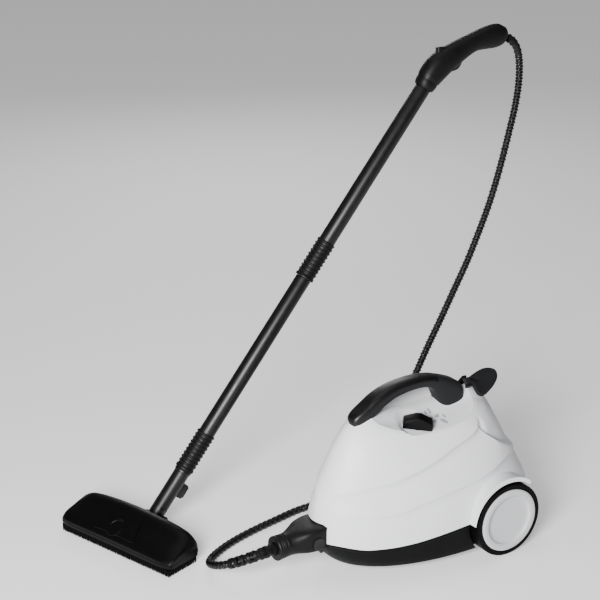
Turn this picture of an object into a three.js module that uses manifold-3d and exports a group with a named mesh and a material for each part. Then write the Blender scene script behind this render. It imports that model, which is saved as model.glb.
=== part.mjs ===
// A canister steam cleaner with its hose, gun, extension tubes and floor head.
// Millimetres, +Z up. The machine's nose points to -Y, and its wheels turn about X.
import * as THREE from "three";
import { mergeVertices } from "three/addons/utils/BufferGeometryUtils.js";
import Module from "manifold-3d";

const wasm = await Module();
wasm.setup();

// ---------------------------------------------------------------- driving dimensions

const ORIGIN = new THREE.Vector3(142, 87, 0); // moves the machine's own zero to the part's origin
const GAP = 0.3; // between pieces that touch
const WALL = 3; // moulded shells

const WHEEL_RADIUS = 75;
const WHEEL_WIDTH = 34;
const WHEEL_FACE_X = 147; // outer face of each tyre
const AXLE_Y = 130;
const AXLE_RADIUS = 5;
const WELL_RADIUS = WHEEL_RADIUS + 5;
const WELL_X = 106; // inner end of each wheel well
const FENDER_X = 146; // outer edge of each fender
const FENDER_RADIUS = 90;

const BASE_Z = 18; // underside of the base tray
const CASTER_Y = -122;
const CASTER_RADIUS = 16;
const CASTER_TRAIL = 20;
const CASTER_WELL_RADIUS = 42;
const CASTER_WELL_TOP = 42;

const NOSE_Y = -216; // flat face that the hose plug meets
const PLUG_HALF_WIDTH = 36;
const PLUG_Z = 87;
const PLUG_HALF_HEIGHT = 25;

const BOILER_RADIUS = 65;
const BOILER_Y = 15;
const BOILER_BOTTOM = 70;
const BOILER_FLANGE_Z = 128;
const BOILER_TOP = 192;

const CAP_CENTRE = [45, -20]; // x and y of the filler cap on the deck
const CAP_DISH_RADIUS = 31.5;
const CAP_DISH_DEPTH = 5;
const DECK_TILT = 0.235; // the deck falls this much for each mm towards +X

const HOSE_RADIUS = 7.5;
const WAND_FOOT = new THREE.Vector3(-297, -399, 45);
const WAND_YAW = THREE.MathUtils.degToRad(-5);
const WAND_ELEVATION = THREE.MathUtils.degToRad(53.1);
const NECK_LENGTH = 101;
const SLEEVE_LENGTH = 85;
const TUBE_LENGTH = 361;
const TUBE_RADIUS = 16.5;
const TUBE_BORE = 14;
const RIB_PITCH = 17;
const SWIVEL_UP = 4; // the swivel pin's height up the neck
const SWIVEL_ROLL = THREE.MathUtils.degToRad(18.6); // the swivel pin's turn about the neck
const SWIVEL_PIN_RADIUS = 3;
const YOKE_REACH = 15.6; // from the swivel pin down to the pitch axis
const YOKE_TILT = THREE.MathUtils.degToRad(34.7); // the neck leans back this much from upright
const GUN_START = NECK_LENGTH + 2 * (SLEEVE_LENGTH + TUBE_LENGTH); // where the upper tube meets the gun

const HEAD_CENTRE = new THREE.Vector3(-280, -473, 0);
const HEAD_YAW = THREE.MathUtils.degToRad(17.8);
const HEAD_LENGTH = 302;
const HEAD_DEPTH = 84;
const HEAD_HEIGHT = 68;

// ---------------------------------------------------------------- finishes

const FINISHES = {
  white: [0xe6e7ea, 0.38, 0],
  charcoal: [0x2c2d2f, 0.5, 0],
  black: [0x161718, 0.42, 0],
  softBlack: [0x1c1d1f, 0.7, 0],
  rubber: [0x101010, 0.85, 0],
  steel: [0xb8bcc0, 0.35, 1],
  aluminium: [0xc4c6c8, 0.45, 1],
  brass: [0xc8a050, 0.35, 1],
  insulation: [0xb9b4a8, 0.95, 0],
  lens: [0x9aa0a6, 0.2, 0],
};

function finish(name) {
  const [color, roughness, metalness] = FINISHES[name];
  return new THREE.MeshStandardMaterial({ color, roughness, metalness });
}

// ---------------------------------------------------------------- solids

function toSolid(geometry) {
  const bare = (geometry.index ? geometry.toNonIndexed() : geometry).clone();
  bare.deleteAttribute("normal");
  bare.deleteAttribute("uv");
  const merged = mergeVertices(bare, 1e-4);
  return new wasm.Manifold(
    new wasm.Mesh({
      numProp: 3,
      vertProperties: merged.attributes.position.array,
      triVerts: new Uint32Array(merged.index.array),
    }),
  );
}

function toGeometry(solid) {
  const mesh = solid.getMesh();
  const geometry = new THREE.BufferGeometry();
  geometry.setAttribute("position", new THREE.BufferAttribute(Float32Array.from(mesh.vertProperties), 3));
  geometry.setIndex(new THREE.BufferAttribute(Uint32Array.from(mesh.triVerts), 1));
  const flat = geometry.toNonIndexed();
  flat.computeVertexNormals();
  return flat;
}

const add = (first, ...others) => others.reduce((sum, next) => sum.add(next), first);
const cut = (first, ...others) => others.reduce((rest, next) => rest.subtract(next), first);
const moved = (geometry, x, y, z) => geometry.translate(x, y, z);

// A solid box by the coordinates of its centre and its sizes along X, Y and Z.
function box(x, y, z, width, depth, height) {
  return toSolid(moved(new THREE.BoxGeometry(width, depth, height), x, y, z));
}

// A turned solid about +Z from [radius, z] points that start and end on the axis or close on themselves.
function turned(points, sides = 20) {
  const profile = points.map(([radius, z]) => new THREE.Vector2(radius, z));
  return new THREE.LatheGeometry(profile, sides).rotateX(Math.PI / 2);
}

// A plain or hollow rod along +Z from z = low to high.
function rod(radius, low, high, bore = 0, sides = 20) {
  const profile = bore
    ? [[bore, low], [radius, low], [radius, high], [bore, high], [bore, low]]
    : [[0, low], [radius, low], [radius, high], [0, high]];
  return turned(profile, sides);
}

// A prism along X from low to high, its outline given as [y, z] points or as a shape.
function prism(outline, low, high, curveSegments = 12) {
  const drawn = (points) => new THREE.Shape(points.map(([y, z]) => new THREE.Vector2(y, z)));
  const shape = Array.isArray(outline) ? drawn(outline) : outline;
  const settings = { depth: high - low, bevelEnabled: false, curveSegments };
  const geometry = new THREE.ExtrudeGeometry(shape, settings);
  return moved(geometry.rotateX(Math.PI / 2).rotateZ(Math.PI / 2), low, 0, 0);
}

const alongX = (geometry) => geometry.rotateY(Math.PI / 2);
const alongY = (geometry) => geometry.rotateX(-Math.PI / 2);

// A closed solid through rings of equally many points, each ring seen anticlockwise from the last one.
function loft(rings) {
  const count = rings[0].length;
  const middle = (ring) => ring.reduce((sum, p) => sum.add(p), new THREE.Vector3()).divideScalar(count);
  const points = [...rings.flat(), middle(rings[0]), middle(rings.at(-1))];
  const index = [];
  for (let r = 0; r + 1 < rings.length; r++) {
    for (let i = 0; i < count; i++) {
      const a = r * count + i;
      const b = r * count + ((i + 1) % count);
      index.push(a, b, b + count, a, b + count, a + count);
    }
  }
  const last = (rings.length - 1) * count;
  for (let i = 0; i < count; i++) {
    const next = (i + 1) % count;
    index.push(points.length - 2, next, i, points.length - 1, last + i, last + next);
  }
  const geometry = new THREE.BufferGeometry().setFromPoints(points);
  geometry.setIndex(index);
  return geometry;
}

// A round tube along part of a curve, from one fraction of its length to another.
function swept(curve, radius, steps, sides, start = 0, end = 1) {
  const part = new THREE.CatmullRomCurve3(
    Array.from({ length: steps + 1 }, (_, i) => curve.getPointAt(start + ((end - start) * i) / steps)),
  );
  const section = new THREE.Shape(
    Array.from({ length: sides }, (_, i) => {
      const angle = (i / sides) * 2 * Math.PI;
      return new THREE.Vector2(radius * Math.cos(angle), radius * Math.sin(angle));
    }),
  );
  return new THREE.ExtrudeGeometry(section, { steps, bevelEnabled: false, extrudePath: part });
}

// A superellipse ring's unit point at an angle, for a corner exponent.
function rounded(angle, exponent) {
  const bend = (value) => Math.sign(value) * Math.abs(value) ** (2 / exponent);
  return [bend(Math.cos(angle)), bend(Math.sin(angle))];
}

const angles = (count) => Array.from({ length: count }, (_, i) => (i / count) * 2 * Math.PI);
const clamp = THREE.MathUtils.clamp;
const smoothstep = (value, low, high) => THREE.MathUtils.smoothstep(value, low, high);

// Smooth value of one column of a table at t, the table's first column being its rising stations.
function smooth(table, column, t) {
  const at = clamp(table.findIndex((row) => row[0] > t) - 1, 0, table.length - 2);
  const i = t >= table.at(-1)[0] ? table.length - 2 : at;
  const [before, from, to, after] = [i - 1, i, i + 1, i + 2].map((k) => table[clamp(k, 0, table.length - 1)]);
  const span = to[0] - from[0];
  const slope = (a, b) => (b[0] > a[0] ? (b[column] - a[column]) / (b[0] - a[0]) : 0);
  const [m0, m1] = [slope(before, to) * span, slope(from, after) * span];
  const u = clamp((t - from[0]) / span, 0, 1);
  return (
    (2 * u ** 3 - 3 * u ** 2 + 1) * from[column] +
    (u ** 3 - 2 * u ** 2 + u) * m0 +
    (3 * u ** 2 - 2 * u ** 3) * to[column] +
    (u ** 3 - u ** 2) * m1
  );
}

// ---------------------------------------------------------------- tree

const steamCleaner = new THREE.Group();
steamCleaner.position.copy(ORIGIN);

function place(name, shape, look, parent = steamCleaner) {
  const geometry = shape.isBufferGeometry ? shape : toGeometry(shape);
  const mesh = new THREE.Mesh(geometry, finish(look));
  mesh.name = name;
  parent.add(mesh);
  return mesh;
}

// ---------------------------------------------------------------- white shell and base tray

// The shell from its seam (0) to the edge of its deck (1): the fraction of the height, then half the width,
// how far it reaches to the front and to the rear, and where it is widest.
const SHELL_STATIONS = [
  [0.0, 129, 226, 252, 85],
  [0.15, 128, 227, 249, 84],
  [0.35, 121, 215, 231, 80],
  [0.58, 107, 191, 208, 72],
  [0.8, 92, 163, 182, 62],
  [0.93, 80, 136, 156, 54],
  [1.0, 72, 112, 128, 50],
];

// The tray from the seam (0) to its underside (1), in the same columns.
const BASE_STATIONS = [
  [0.0, 128, 225, 250, 85],
  [0.5, 127, 208, 247, 82],
  [0.85, 125, 190, 240, 80],
  [1.0, 121, 176, 234, 80],
];

const FRONT_CORNER = 2.1;
const REAR_CORNER = 2.4;

// Height of the seam between tray and shell at a place along the machine: lowest at the front quarters.
const seamZ = (y) => 66 + 9 * smoothstep(-y, 150, 215) + 16 * smoothstep(y, -125, 90);

// Height of the deck, which tilts to one side, with a spine under the handle.
function deckZ(x, y) {
  const spine = 9 * Math.max(0, 1 - (x / 30) ** 2) ** 2;
  const rise = y < 5 ? 12 * ((5 - y) / 95) ** 2 : 12 * ((y - 5) / 110) ** 2;
  return 283 - DECK_TILT * x + spine + rise;
}

function outline(table, t, angle, inset) {
  const [half, front, rear, widest] = [1, 2, 3, 4].map((column) => smooth(table, column, t));
  const toRear = Math.sin(angle) > 0;
  const [c, s] = rounded(angle, toRear ? REAR_CORNER : FRONT_CORNER);
  return [(half - inset) * c, widest + (toRear ? rear - widest - inset : front + widest - inset) * s];
}

// The closed outside of the shell, moved in by inset.
function shellBlank(inset, sides, levels) {
  const ring = (t) =>
    angles(sides).map((angle) => {
      const [x, y] = outline(SHELL_STATIONS, t, angle, inset);
      const [edgeX, edgeY] = outline(SHELL_STATIONS, 1, angle, 0);
      const low = seamZ(y) + GAP / 2 - (inset > 0 ? 2 * WALL : 0);
      return new THREE.Vector3(x, y, THREE.MathUtils.lerp(low, deckZ(edgeX, edgeY) - inset, t));
    });
  const deckRing = (scale) =>
    angles(sides).map((angle) => {
      const [x, y] = outline(SHELL_STATIONS, 1, angle, inset);
      const [px, py] = [x * scale, 20 + (y - 20) * scale];
      return new THREE.Vector3(px, py, deckZ(px, py) - inset);
    });
  return toSolid(loft([...levels.map(ring), ...[0.75, 0.45, 0.15].map(deckRing)]));
}

function baseBlank(inset, sides) {
  const ring = (t) =>
    angles(sides).map((angle) => {
      const [x, y] = outline(BASE_STATIONS, t, angle, inset);
      const top = seamZ(y) - GAP / 2 + (inset > 0 ? 2 * WALL : 0);
      return new THREE.Vector3(x, y, THREE.MathUtils.lerp(BASE_Z + Math.max(inset, 0), top, 1 - t));
    });
  return toSolid(loft([1, 0.85, 0.5, 0.2, 0].map(ring)));
}

const onAxle = (geometry) => moved(alongX(geometry), 0, AXLE_Y, WHEEL_RADIUS);
const bothSides = (make) => [1, -1].map((side) => toSolid(make(side)));
const mirrored = (low, high, side) => (side > 0 ? [low, high] : [-high, -low]);

// Cuts shared by the shell and the tray: the wheel wells, the axle's holes and the flat nose.
const wellCuts = bothSides((side) => onAxle(rod(WELL_RADIUS, ...mirrored(WELL_X, 200, side), 0, 28)));
const wellBacks = bothSides((side) => {
  const [low, high] = mirrored(WELL_X - WALL, 140, side);
  return onAxle(rod(WELL_RADIUS + WALL, low, high, 0, 28));
});
const axleHole = toSolid(onAxle(rod(AXLE_RADIUS + 3, -140, 140, 0, 24)));
// The pocket behind the nose for the steam socket.
const socketCut = box(0, NOSE_Y + 10, PLUG_Z, 2 * PLUG_HALF_WIDTH - 4, 60, 2 * PLUG_HALF_HEIGHT - 4);
const noseCut = box(0, NOSE_Y - 50, PLUG_Z, 300, 100, 2 * PLUG_HALF_HEIGHT + 2);

// The fender over one wheel: a band from the seam at the front round to a tip at the rear.
function fender(side) {
  const [from, to] = [THREE.MathUtils.degToRad(52), THREE.MathUtils.degToRad(176)];
  const band = new THREE.Shape();
  band.absarc(0, 0, FENDER_RADIUS, from, to, false);
  band.absarc(0, 0, WELL_RADIUS - 1, to, from, true);
  const [low, high] = mirrored(100, FENDER_X, side);
  return moved(prism(band, low, high, 10), 0, AXLE_Y, WHEEL_RADIUS);
}

const SHELL_LEVELS = [0, 0.2, 0.4, 0.6, 0.8, 0.92, 1];
const shellOutside = shellBlank(0, 32, SHELL_LEVELS);
const shellInside = shellBlank(WALL, 20, [0, 0.4, 0.8, 1]);
const baseOutside = baseBlank(0, 32);
const baseInside = baseBlank(WALL, 20);

// The deck's tilted frame at the filler cap: +Z stands square to the deck.
const capFrame = new THREE.Group();
capFrame.position.set(...CAP_CENTRE, deckZ(...CAP_CENTRE) + 0.5);
capFrame.rotation.y = Math.atan(DECK_TILT);
steamCleaner.add(capFrame);
capFrame.updateMatrix();

const LAMPS = [["power_lamp", -10, 51], ["ready_lamp", 1, 41]]; // beside the cap, in its frame
const inCapFrame = (geometry) => toSolid(geometry.applyMatrix4(capFrame.matrix));

function addShell() {
  const backs = wellBacks.map((back) => back.intersect(shellOutside));
  const wings = bothSides(fender).map((band) => band.subtract(shellInside));
  const hollow = cut(shellOutside, shellInside);
  const capBoss = inCapFrame(rod(CAP_DISH_RADIUS + WALL, -CAP_DISH_DEPTH - WALL, 10, 0, 24));
  const solid = cut(
    add(hollow, capBoss.intersect(shellOutside), ...backs, ...wings),
    ...wellCuts,
    axleHole,
    noseCut,
    socketCut,
    baseOutside,
    inCapFrame(rod(CAP_DISH_RADIUS, -CAP_DISH_DEPTH, 20, 0, 24)),
    inCapFrame(rod(16, -30, 20, 0, 24)),
    ...LAMPS.map(([, x, y]) => inCapFrame(moved(rod(2.9, -12, 12, 0, 12), x, y, 0))),
  );
  place("upper_shell", largest(solid), "white");
}

// The biggest separate body of a solid, without loose slivers left by its cuts.
function largest(solid) {
  return solid.decompose().reduce((best, next) => (next.volume() > best.volume() ? next : best));
}

// Screws that hold the shell to the tray, each in a counterbored boss.
const SCREWS = [[62, -120], [-62, -120], [66, 195], [-66, 195]];
const SCREW_HOLE = [[0, -1], [4.8, -1], [4.8, 14.3], [2.3, 14.3], [2.3, 40], [0, 40]];
const SCREW = [[0, 10], [4.3, 10], [4.3, 14], [2, 14], [2, 40], [0, 40]];

function addBase() {
  const backs = wellBacks.map((back) => back.intersect(baseOutside));
  const casterRod = (radius, low, high, sides) => {
    return toSolid(moved(rod(radius, low, high, 0, sides), 0, CASTER_Y, 0));
  };
  const casterCup = casterRod(CASTER_WELL_RADIUS + WALL, BASE_Z, CASTER_WELL_TOP + WALL, 20);
  const casterWell = casterRod(CASTER_WELL_RADIUS, 0, CASTER_WELL_TOP, 20);
  const casterPin = casterRod(5.3, 0, 60, 16);
  const screwHoles = SCREWS.map(([x, y]) => toSolid(moved(turned(SCREW_HOLE, 12), x, y, BASE_Z)));
  const bosses = SCREWS.map(([x, y]) => toSolid(moved(rod(8, 1, 34, 0, 12), x, y, BASE_Z)));
  const solid = cut(
    add(cut(baseOutside, baseInside), ...backs, casterCup.intersect(baseOutside), ...bosses),
    ...wellCuts,
    axleHole,
    noseCut,
    socketCut,
    casterWell,
    casterPin,
    ...screwHoles,
    toSolid(moved(alongY(rod(9.3, 0, 30, 0, 16)), 60, 225, 50)),
  );
  place("base_tray", largest(solid), "charcoal");
}

addShell();
addBase();
SCREWS.forEach(([x, y], i) => place(`base_screw_${i + 1}`, moved(turned(SCREW, 12), x, y, BASE_Z), "steel"));

// ---------------------------------------------------------------- carrying handle

// The handle from its front foot to its rear foot: outer y and z, inner y and z, half width.
const HANDLE_STATIONS = [
  [-142, 290, -130, 282, 9],
  [-143, 302, -122, 287, 15],
  [-133, 314, -108, 292, 18],
  [-113, 327, -91, 299, 19],
  [-88, 340, -70, 314, 19],
  [-58, 350, -46, 324, 18],
  [-22, 354, -18, 329, 18],
  [10, 354, 12, 330, 18],
  [38, 350, 31, 326, 18],
  [58, 344, 42, 318, 19],
  [79, 336, 49, 306, 21],
  [101, 325, 54, 293, 23],
  [113, 310, 57, 283, 24],
  [116, 292, 58, 274, 24],
];
const HANDLE_SPLIT = 0.25; // the cover's lower edge, from the middle of the handle

function handlePiece(isCover) {
  const rings = HANDLE_STATIONS.map(([outerY, outerZ, innerY, innerZ, half]) => {
    const middle = new THREE.Vector3(0, (outerY + innerY) / 2, (outerZ + innerZ) / 2);
    const reach = new THREE.Vector3(0, outerY - innerY, outerZ - innerZ).divideScalar(2);
    return angles(16).map((angle) => {
      const [c, s] = rounded(angle, 3);
      const depth = isCover ? Math.max(s, HANDLE_SPLIT + 0.02) : Math.min(s, HANDLE_SPLIT);
      const width = isCover ? half : half - 0.8;
      return new THREE.Vector3(width * c, 0, 0).add(middle).addScaledVector(reach, depth);
    });
  });
  return toSolid(loft(rings.map((ring) => ring.reverse())));
}

const deckClearance = shellBlank(-GAP, 32, SHELL_LEVELS);
place("handle_cover", largest(handlePiece(true).subtract(deckClearance)), "black");
place("handle_lower", largest(handlePiece(false).subtract(deckClearance)), "softBlack");

// ---------------------------------------------------------------- cord hook behind the handle

const HOOK_PIVOT = new THREE.Vector3(2, 127, 312);
const HOOK_PIN_RADIUS = 2;
const hookFrame = new THREE.Group();
hookFrame.position.copy(HOOK_PIVOT);
hookFrame.rotation.set(THREE.MathUtils.degToRad(-3), THREE.MathUtils.degToRad(38), 0, "YXZ");
steamCleaner.add(hookFrame);
hookFrame.updateMatrix();

// The hook's outline, out from its pivot along +Y.
const HOOK_NEAR_SIDE = [[6.8, 6], [7, 10], [26, 11], [34, 18], [34, 28], [29, 42], [20, 57], [6, 75]];
const HOOK_FAR_SIDE = [[-4, 79], [-12, 75], [-17, 62], [-17, 47], [-13, 29], [-7, 6]];

function addHook() {
  const edge = [...HOOK_NEAR_SIDE, ...HOOK_FAR_SIDE].map(([x, y]) => new THREE.Vector2(x, y));
  const leaf = new THREE.Shape(edge);
  const plate = moved(new THREE.ExtrudeGeometry(leaf, { depth: 7, bevelEnabled: false }), 0, 0, -3.5);
  const pinHole = toSolid(alongX(rod(HOOK_PIN_RADIUS + GAP, -20, 20, 0, 12)));
  const knuckle = add(toSolid(alongX(rod(4.2, -7, 7, 0, 12))), box(0, 5, 0, 14, 8, 6));
  place("cord_hook", cut(add(toSolid(plate), knuckle), pinHole), "black", hookFrame);
  const pin = toSolid(alongX(rod(HOOK_PIN_RADIUS, -12, 12, 0, 12)));
  const toFrame = hookFrame.matrix.clone().invert();
  const inFrame = (solid) => toSolid(toGeometry(solid).applyMatrix4(toFrame));
  const lugs = [9.8, -9.8].map((x) => box(x, 0, -5, 5, 9, 20));
  const bridge = box(0, -2, -11.5, 24, 5, 9);
  const clearances = [deckClearance, handlePiece(true), handlePiece(false)].map(inFrame);
  place("hook_bracket", largest(cut(add(...lugs, bridge, pin), ...clearances)), "black", hookFrame);
}
addHook();

// ---------------------------------------------------------------- filler cap, neck and lamps

// The cap: a gabled grip that faces the user, on a round neck with a threaded stem.
function addFiller() {
  const gable = [[-28, 0.8], [28, 0.8], [28, 13], [5, 23], [-5, 23], [-28, 13]];
  const grip = toSolid(prism(gable, -11, 11).rotateZ(THREE.MathUtils.degToRad(-33)));
  const neck = toSolid(rod(14, GAP - CAP_DISH_DEPTH + 1, 2, 0, 20));
  const stem = toSolid(rod(11, -24, 2, 0, 16));
  place("filler_cap", add(grip, neck, stem), "black", capFrame);
  place("cap_seal", rod(14.5, -CAP_DISH_DEPTH - 1.2, -CAP_DISH_DEPTH + 1, 11.4, 16), "rubber", capFrame);
  place("filler_neck", rod(14.5, -86, -CAP_DISH_DEPTH - 1.6, 11.6, 16), "steel", capFrame);
}
addFiller();

LAMPS.forEach(([name, x, y]) => place(name, moved(rod(2.6, -9, 1.2, 0, 12), x, y, 0), "lens", capFrame));

// ---------------------------------------------------------------- boiler and steam line

const atBoiler = (geometry) => moved(geometry, 0, BOILER_Y, 0);
const FLANGE_RADIUS = BOILER_RADIUS + 10;

// One pressed half of the boiler, from its flange plane to its crown; up is 1 or -1.
function boilerHalf(flangeZ, crownZ, up) {
  const wall = 2;
  const shoulder = crownZ - up * 22;
  const lip = flangeZ + up * 3;
  const bore = BOILER_RADIUS - wall;
  const dome = [[0.8, 0.65], [0.4, 0.95]].map(([r, h]) => [BOILER_RADIUS * r, shoulder + up * 22 * h]);
  const inside = [...dome].reverse().map(([r, z]) => [r - wall * 0.7, z - up * wall]);
  const flange = [[bore, flangeZ], [FLANGE_RADIUS, flangeZ], [FLANGE_RADIUS, lip], [BOILER_RADIUS, lip]];
  const profile = [
    [0, crownZ - up * wall],
    ...inside,
    [bore, shoulder],
    ...flange,
    [BOILER_RADIUS, shoulder],
    ...dome,
    [0, crownZ],
  ];
  return turned(up > 0 ? profile : profile.reverse(), 20);
}

function addBoiler() {
  const neckClearance = inCapFrame(rod(14.8, -90, 10, 0, 24));
  const pipeHole = toSolid(moved(rod(5, 150, 220, 0, 12), 0, BOILER_Y - 30, 0));
  const upper = toSolid(atBoiler(boilerHalf(BOILER_FLANGE_Z + GAP, BOILER_TOP, 1)));
  place("boiler_upper", cut(upper, neckClearance, pipeHole), "aluminium");
  place("boiler_lower", atBoiler(boilerHalf(BOILER_FLANGE_Z, BOILER_BOTTOM, -1)), "aluminium");
  const jacket = rod(BOILER_RADIUS + 9, BOILER_FLANGE_Z + 4, 166, BOILER_RADIUS + 0.5);
  place("boiler_jacket", atBoiler(jacket), "insulation");
  const stand = toSolid(atBoiler(rod(60, BASE_Z + WALL + GAP, 78, 56)));
  const dome = toSolid(atBoiler(rod(BOILER_RADIUS + 1, BOILER_BOTTOM - 1, 100)));
  const legs = [0, 1, 2].map((i) => {
    const angle = (i * 2 * Math.PI) / 3 + 0.5;
    const [x, y] = [50 * Math.cos(angle), BOILER_Y + 50 * Math.sin(angle)];
    return box(x, y, 36, 14, 14, 2 * (36 - BASE_Z - WALL - GAP));
  });
  place("boiler_stand", cut(add(stand, ...legs), dome), "steel");
  const coil = new THREE.TorusGeometry(34, 4.5, 6, 20);
  place("heating_element", atBoiler(moved(coil, 0, 0, BOILER_BOTTOM - 6)), "steel");
  const pressureSwitch = rod(12, BOILER_TOP + 1, BOILER_TOP + 26, 0, 16);
  place("pressure_switch", moved(pressureSwitch, -34, BOILER_Y - 24, 0), "black");
}
addBoiler();

// The steam pipe's middle line, as [y, z], from the boiler's crown over to the valve.
const VALVE_Y = -122;
const STEAM_LINE = [[-15, 183], [-15, 198], [-19, 212], [-60, 220], [-100, 190], [-120, 140]];
const steamCurve = new THREE.CatmullRomCurve3(STEAM_LINE.map(([y, z]) => new THREE.Vector3(0, y, z)));
place("steam_pipe", swept(steamCurve, 3.8, 12, 10), "steel");
const valveFoot = toSolid(moved(rod(11, 90, 98, 0, 16), 0, VALVE_Y, 0));
place("solenoid_valve", add(box(0, VALVE_Y, 118, 26, 30, 40), valveFoot), "brass");

// ---------------------------------------------------------------- steam socket in the nose

function addSocket() {
  const frontY = NOSE_Y + 2;
  const block = box(0, frontY + 15, PLUG_Z, 2 * PLUG_HALF_WIDTH - 5, 30, 2 * PLUG_HALF_HEIGHT - 5);
  const pocket = box(0, frontY + 9, PLUG_Z, 52, 20, 32);
  const bore = toSolid(moved(alongY(rod(5.2, 0, 60, 0, 16)), 0, frontY, PLUG_Z));
  const tube = toSolid(moved(alongY(rod(9, 28, 56, 0, 20)), 0, frontY, PLUG_Z));
  place("steam_socket", cut(add(block, tube), pocket, bore), "black");
}
addSocket();

place("mains_gland", moved(alongY(rod(9, 12, 34, 4, 16)), 60, 225, 50), "softBlack");

// ---------------------------------------------------------------- wheels, axle and caster

place("rear_axle", onAxle(rod(AXLE_RADIUS, -139, 139, 0, 20)), "steel");

// A profile for the +X side, or its mirror image for the -X side, still facing outwards.
function sided(points, side) {
  return side > 0 ? points : points.map(([radius, x]) => [radius, -x]).reverse();
}

// Wheel profiles as [radius, distance from the inner side or from the outer face].
const TREAD_INNER = [[64, 3], [71, 0], [75, 4]];
const TREAD_OUTER = [[75, -4], [71, 0], [64, -1]];
const HUB_BORE = AXLE_RADIUS + 0.3;
const HUB_INNER = [[HUB_BORE, 2], [20, 2], [22, 12], [58, 12], [58, 4], [63.5, 4]];
const HUB_OUTER = [[63.5, -2], [58, -2], [56, -14], [12, -14], [12, -8.5], [HUB_BORE, -8.5]];
const CAP_PROFILE = [[0, -5], [40, -5], [48, -1.5], [63.5, -1.5], [63.5, 1], [59, 3], [49, 0.5], [0, -2]];

function addWheel(hand, side) {
  const from = (start) => ([radius, x]) => [radius, start + x];
  const inner = from(WHEEL_FACE_X - WHEEL_WIDTH);
  const outer = from(WHEEL_FACE_X);
  const ring = (near, far) => sided([...near.map(inner), ...far.map(outer), inner(near[0])], side);
  const [bushLow, bushHigh] = mirrored(WELL_X - 9, WELL_X + 2, side);
  place(`axle_bush_${hand}`, onAxle(rod(AXLE_RADIUS + 2.7, bushLow, bushHigh, HUB_BORE, 16)), "softBlack");
  place(`tyre_${hand}`, onAxle(turned(ring(TREAD_INNER, TREAD_OUTER), 28)), "rubber");
  place(`wheel_hub_${hand}`, onAxle(turned(ring(HUB_INNER, HUB_OUTER), 20)), "charcoal");
  place(`hub_cap_${hand}`, onAxle(turned(sided(CAP_PROFILE.map(outer), side), 24)), "white");
}
addWheel("right", 1);
addWheel("left", -1);

function addCaster() {
  const wheelY = CASTER_Y + CASTER_TRAIL;
  const plate = toSolid(moved(rod(20, 33, 39, 0, 24), 0, CASTER_Y, 0));
  const stem = toSolid(moved(rod(5, 38, 58, 0, 16), 0, CASTER_Y, 0));
  const cheeks = [13, -13].map((x) => box(x, CASTER_Y + 12, 23.5, 4, 26, 25));
  const pinHole = toSolid(moved(alongX(rod(2.3, -20, 20, 0, 12)), 0, wheelY, CASTER_RADIUS));
  place("caster_fork", cut(add(plate, stem, ...cheeks), pinHole), "charcoal");
  place("caster_pin", moved(alongX(rod(2, -15, 15, 0, 12)), 0, wheelY, CASTER_RADIUS), "steel");
  const wheel = [[2.25, -9], [14, -9], [16, -7], [16, 7], [14, 9], [2.25, 9], [2.25, -9]];
  place("caster_wheel", moved(alongX(turned(wheel, 24)), 0, wheelY, CASTER_RADIUS), "softBlack");
}
addCaster();

// ---------------------------------------------------------------- hose plug

function addPlug() {
  const endY = NOSE_Y - 0.6; // face against the nose
  // Stations from the nose outwards: y, half width, half height, height of the middle, corner exponent.
  const stations = [
    [endY, 35, 24, 87, 6],
    [endY - 16, 35, 24, 86.5, 6],
    [endY - 34, 33, 23.5, 85, 4.5],
    [endY - 50, 28, 22.5, 83, 3],
    [endY - 62, 24, 22, 81, 2.3],
    [endY - 72, 23, 23, 79.5, 2],
    [endY - 94, 24, 24, 78, 2],
  ];
  const rings = stations.map(([y, half, tall, z, corner]) =>
    angles(24).map((angle) => {
      const [c, s] = rounded(angle, corner);
      return new THREE.Vector3(half * c, y, z + tall * s);
    }),
  );
  const body = toSolid(loft(rings));
  const tongue = box(0, endY + 7, PLUG_Z, 50, 16, 30);
  const buttonHoles = [1, -1].map((side) => box(side * 33, endY - 17, PLUG_Z - 6, 24, 22.6, 22.6));
  const reliefHole = toSolid(moved(alongY(rod(12.5, -20, 10, 0, 20)), 0, endY - 94, 78));
  const nozzleHole = toSolid(moved(alongY(rod(4.3, -20, 10, 0, 16)), 0, endY + 15, PLUG_Z));
  place("plug_body", cut(add(body, tongue), ...buttonHoles, reliefHole, nozzleHole), "black");
  place("plug_nozzle", moved(alongY(rod(4, -19, 18, 2, 16)), 0, endY + 15, PLUG_Z), "brass");
  [["right", 1], ["left", -1]].forEach(([hand, side]) => {
    const button = new THREE.BoxGeometry(13, 22, 22);
    place(`plug_button_${hand}`, moved(button, side * 31, endY - 17, PLUG_Z - 6), "black");
  });
}
addPlug();

// ---------------------------------------------------------------- hose

// The hose's middle line from the gun, hanging beside the machine, along the floor and back to the plug.
const HOSE_ROUTE = [
  [-229, 387, 912], [-231, 400, 903.5], [-235, 414, 890], [-240, 425.5, 870], [-243, 431.5, 848],
  [-245, 434, 823], [-246, 433, 795], [-246, 427, 758], [-245, 415.5, 715], [-242, 399.5, 665],
  [-238, 381, 615], [-234, 358.5, 562], [-231, 333, 510], [-227, 303, 455], [-222, 267, 400],
  [-217, 231, 345], [-213, 196, 292], [-209, 164, 240], [-207, 133, 188], [-207, 104, 140],
  [-208, 75, 94], [-210, 42, 52], [-211, 4, 22], [-211, -40, 9.5], [-211, -90, 8],
  [-209, -130, 8], [-199, -185, 8], [-188, -240, 8], [-174, -292, 8], [-157, -335, 8],
  [-137, -366, 10.5], [-114, -385, 17], [-91, -393, 26], [-68, -395, 36], [-46, -391, 47],
  [-28, -382, 57], [-14, -368, 66], [-5, -351, 72.5], [-1, -333, 76], [0, -312, 78],
].map((p) => new THREE.Vector3(...p));

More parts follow.
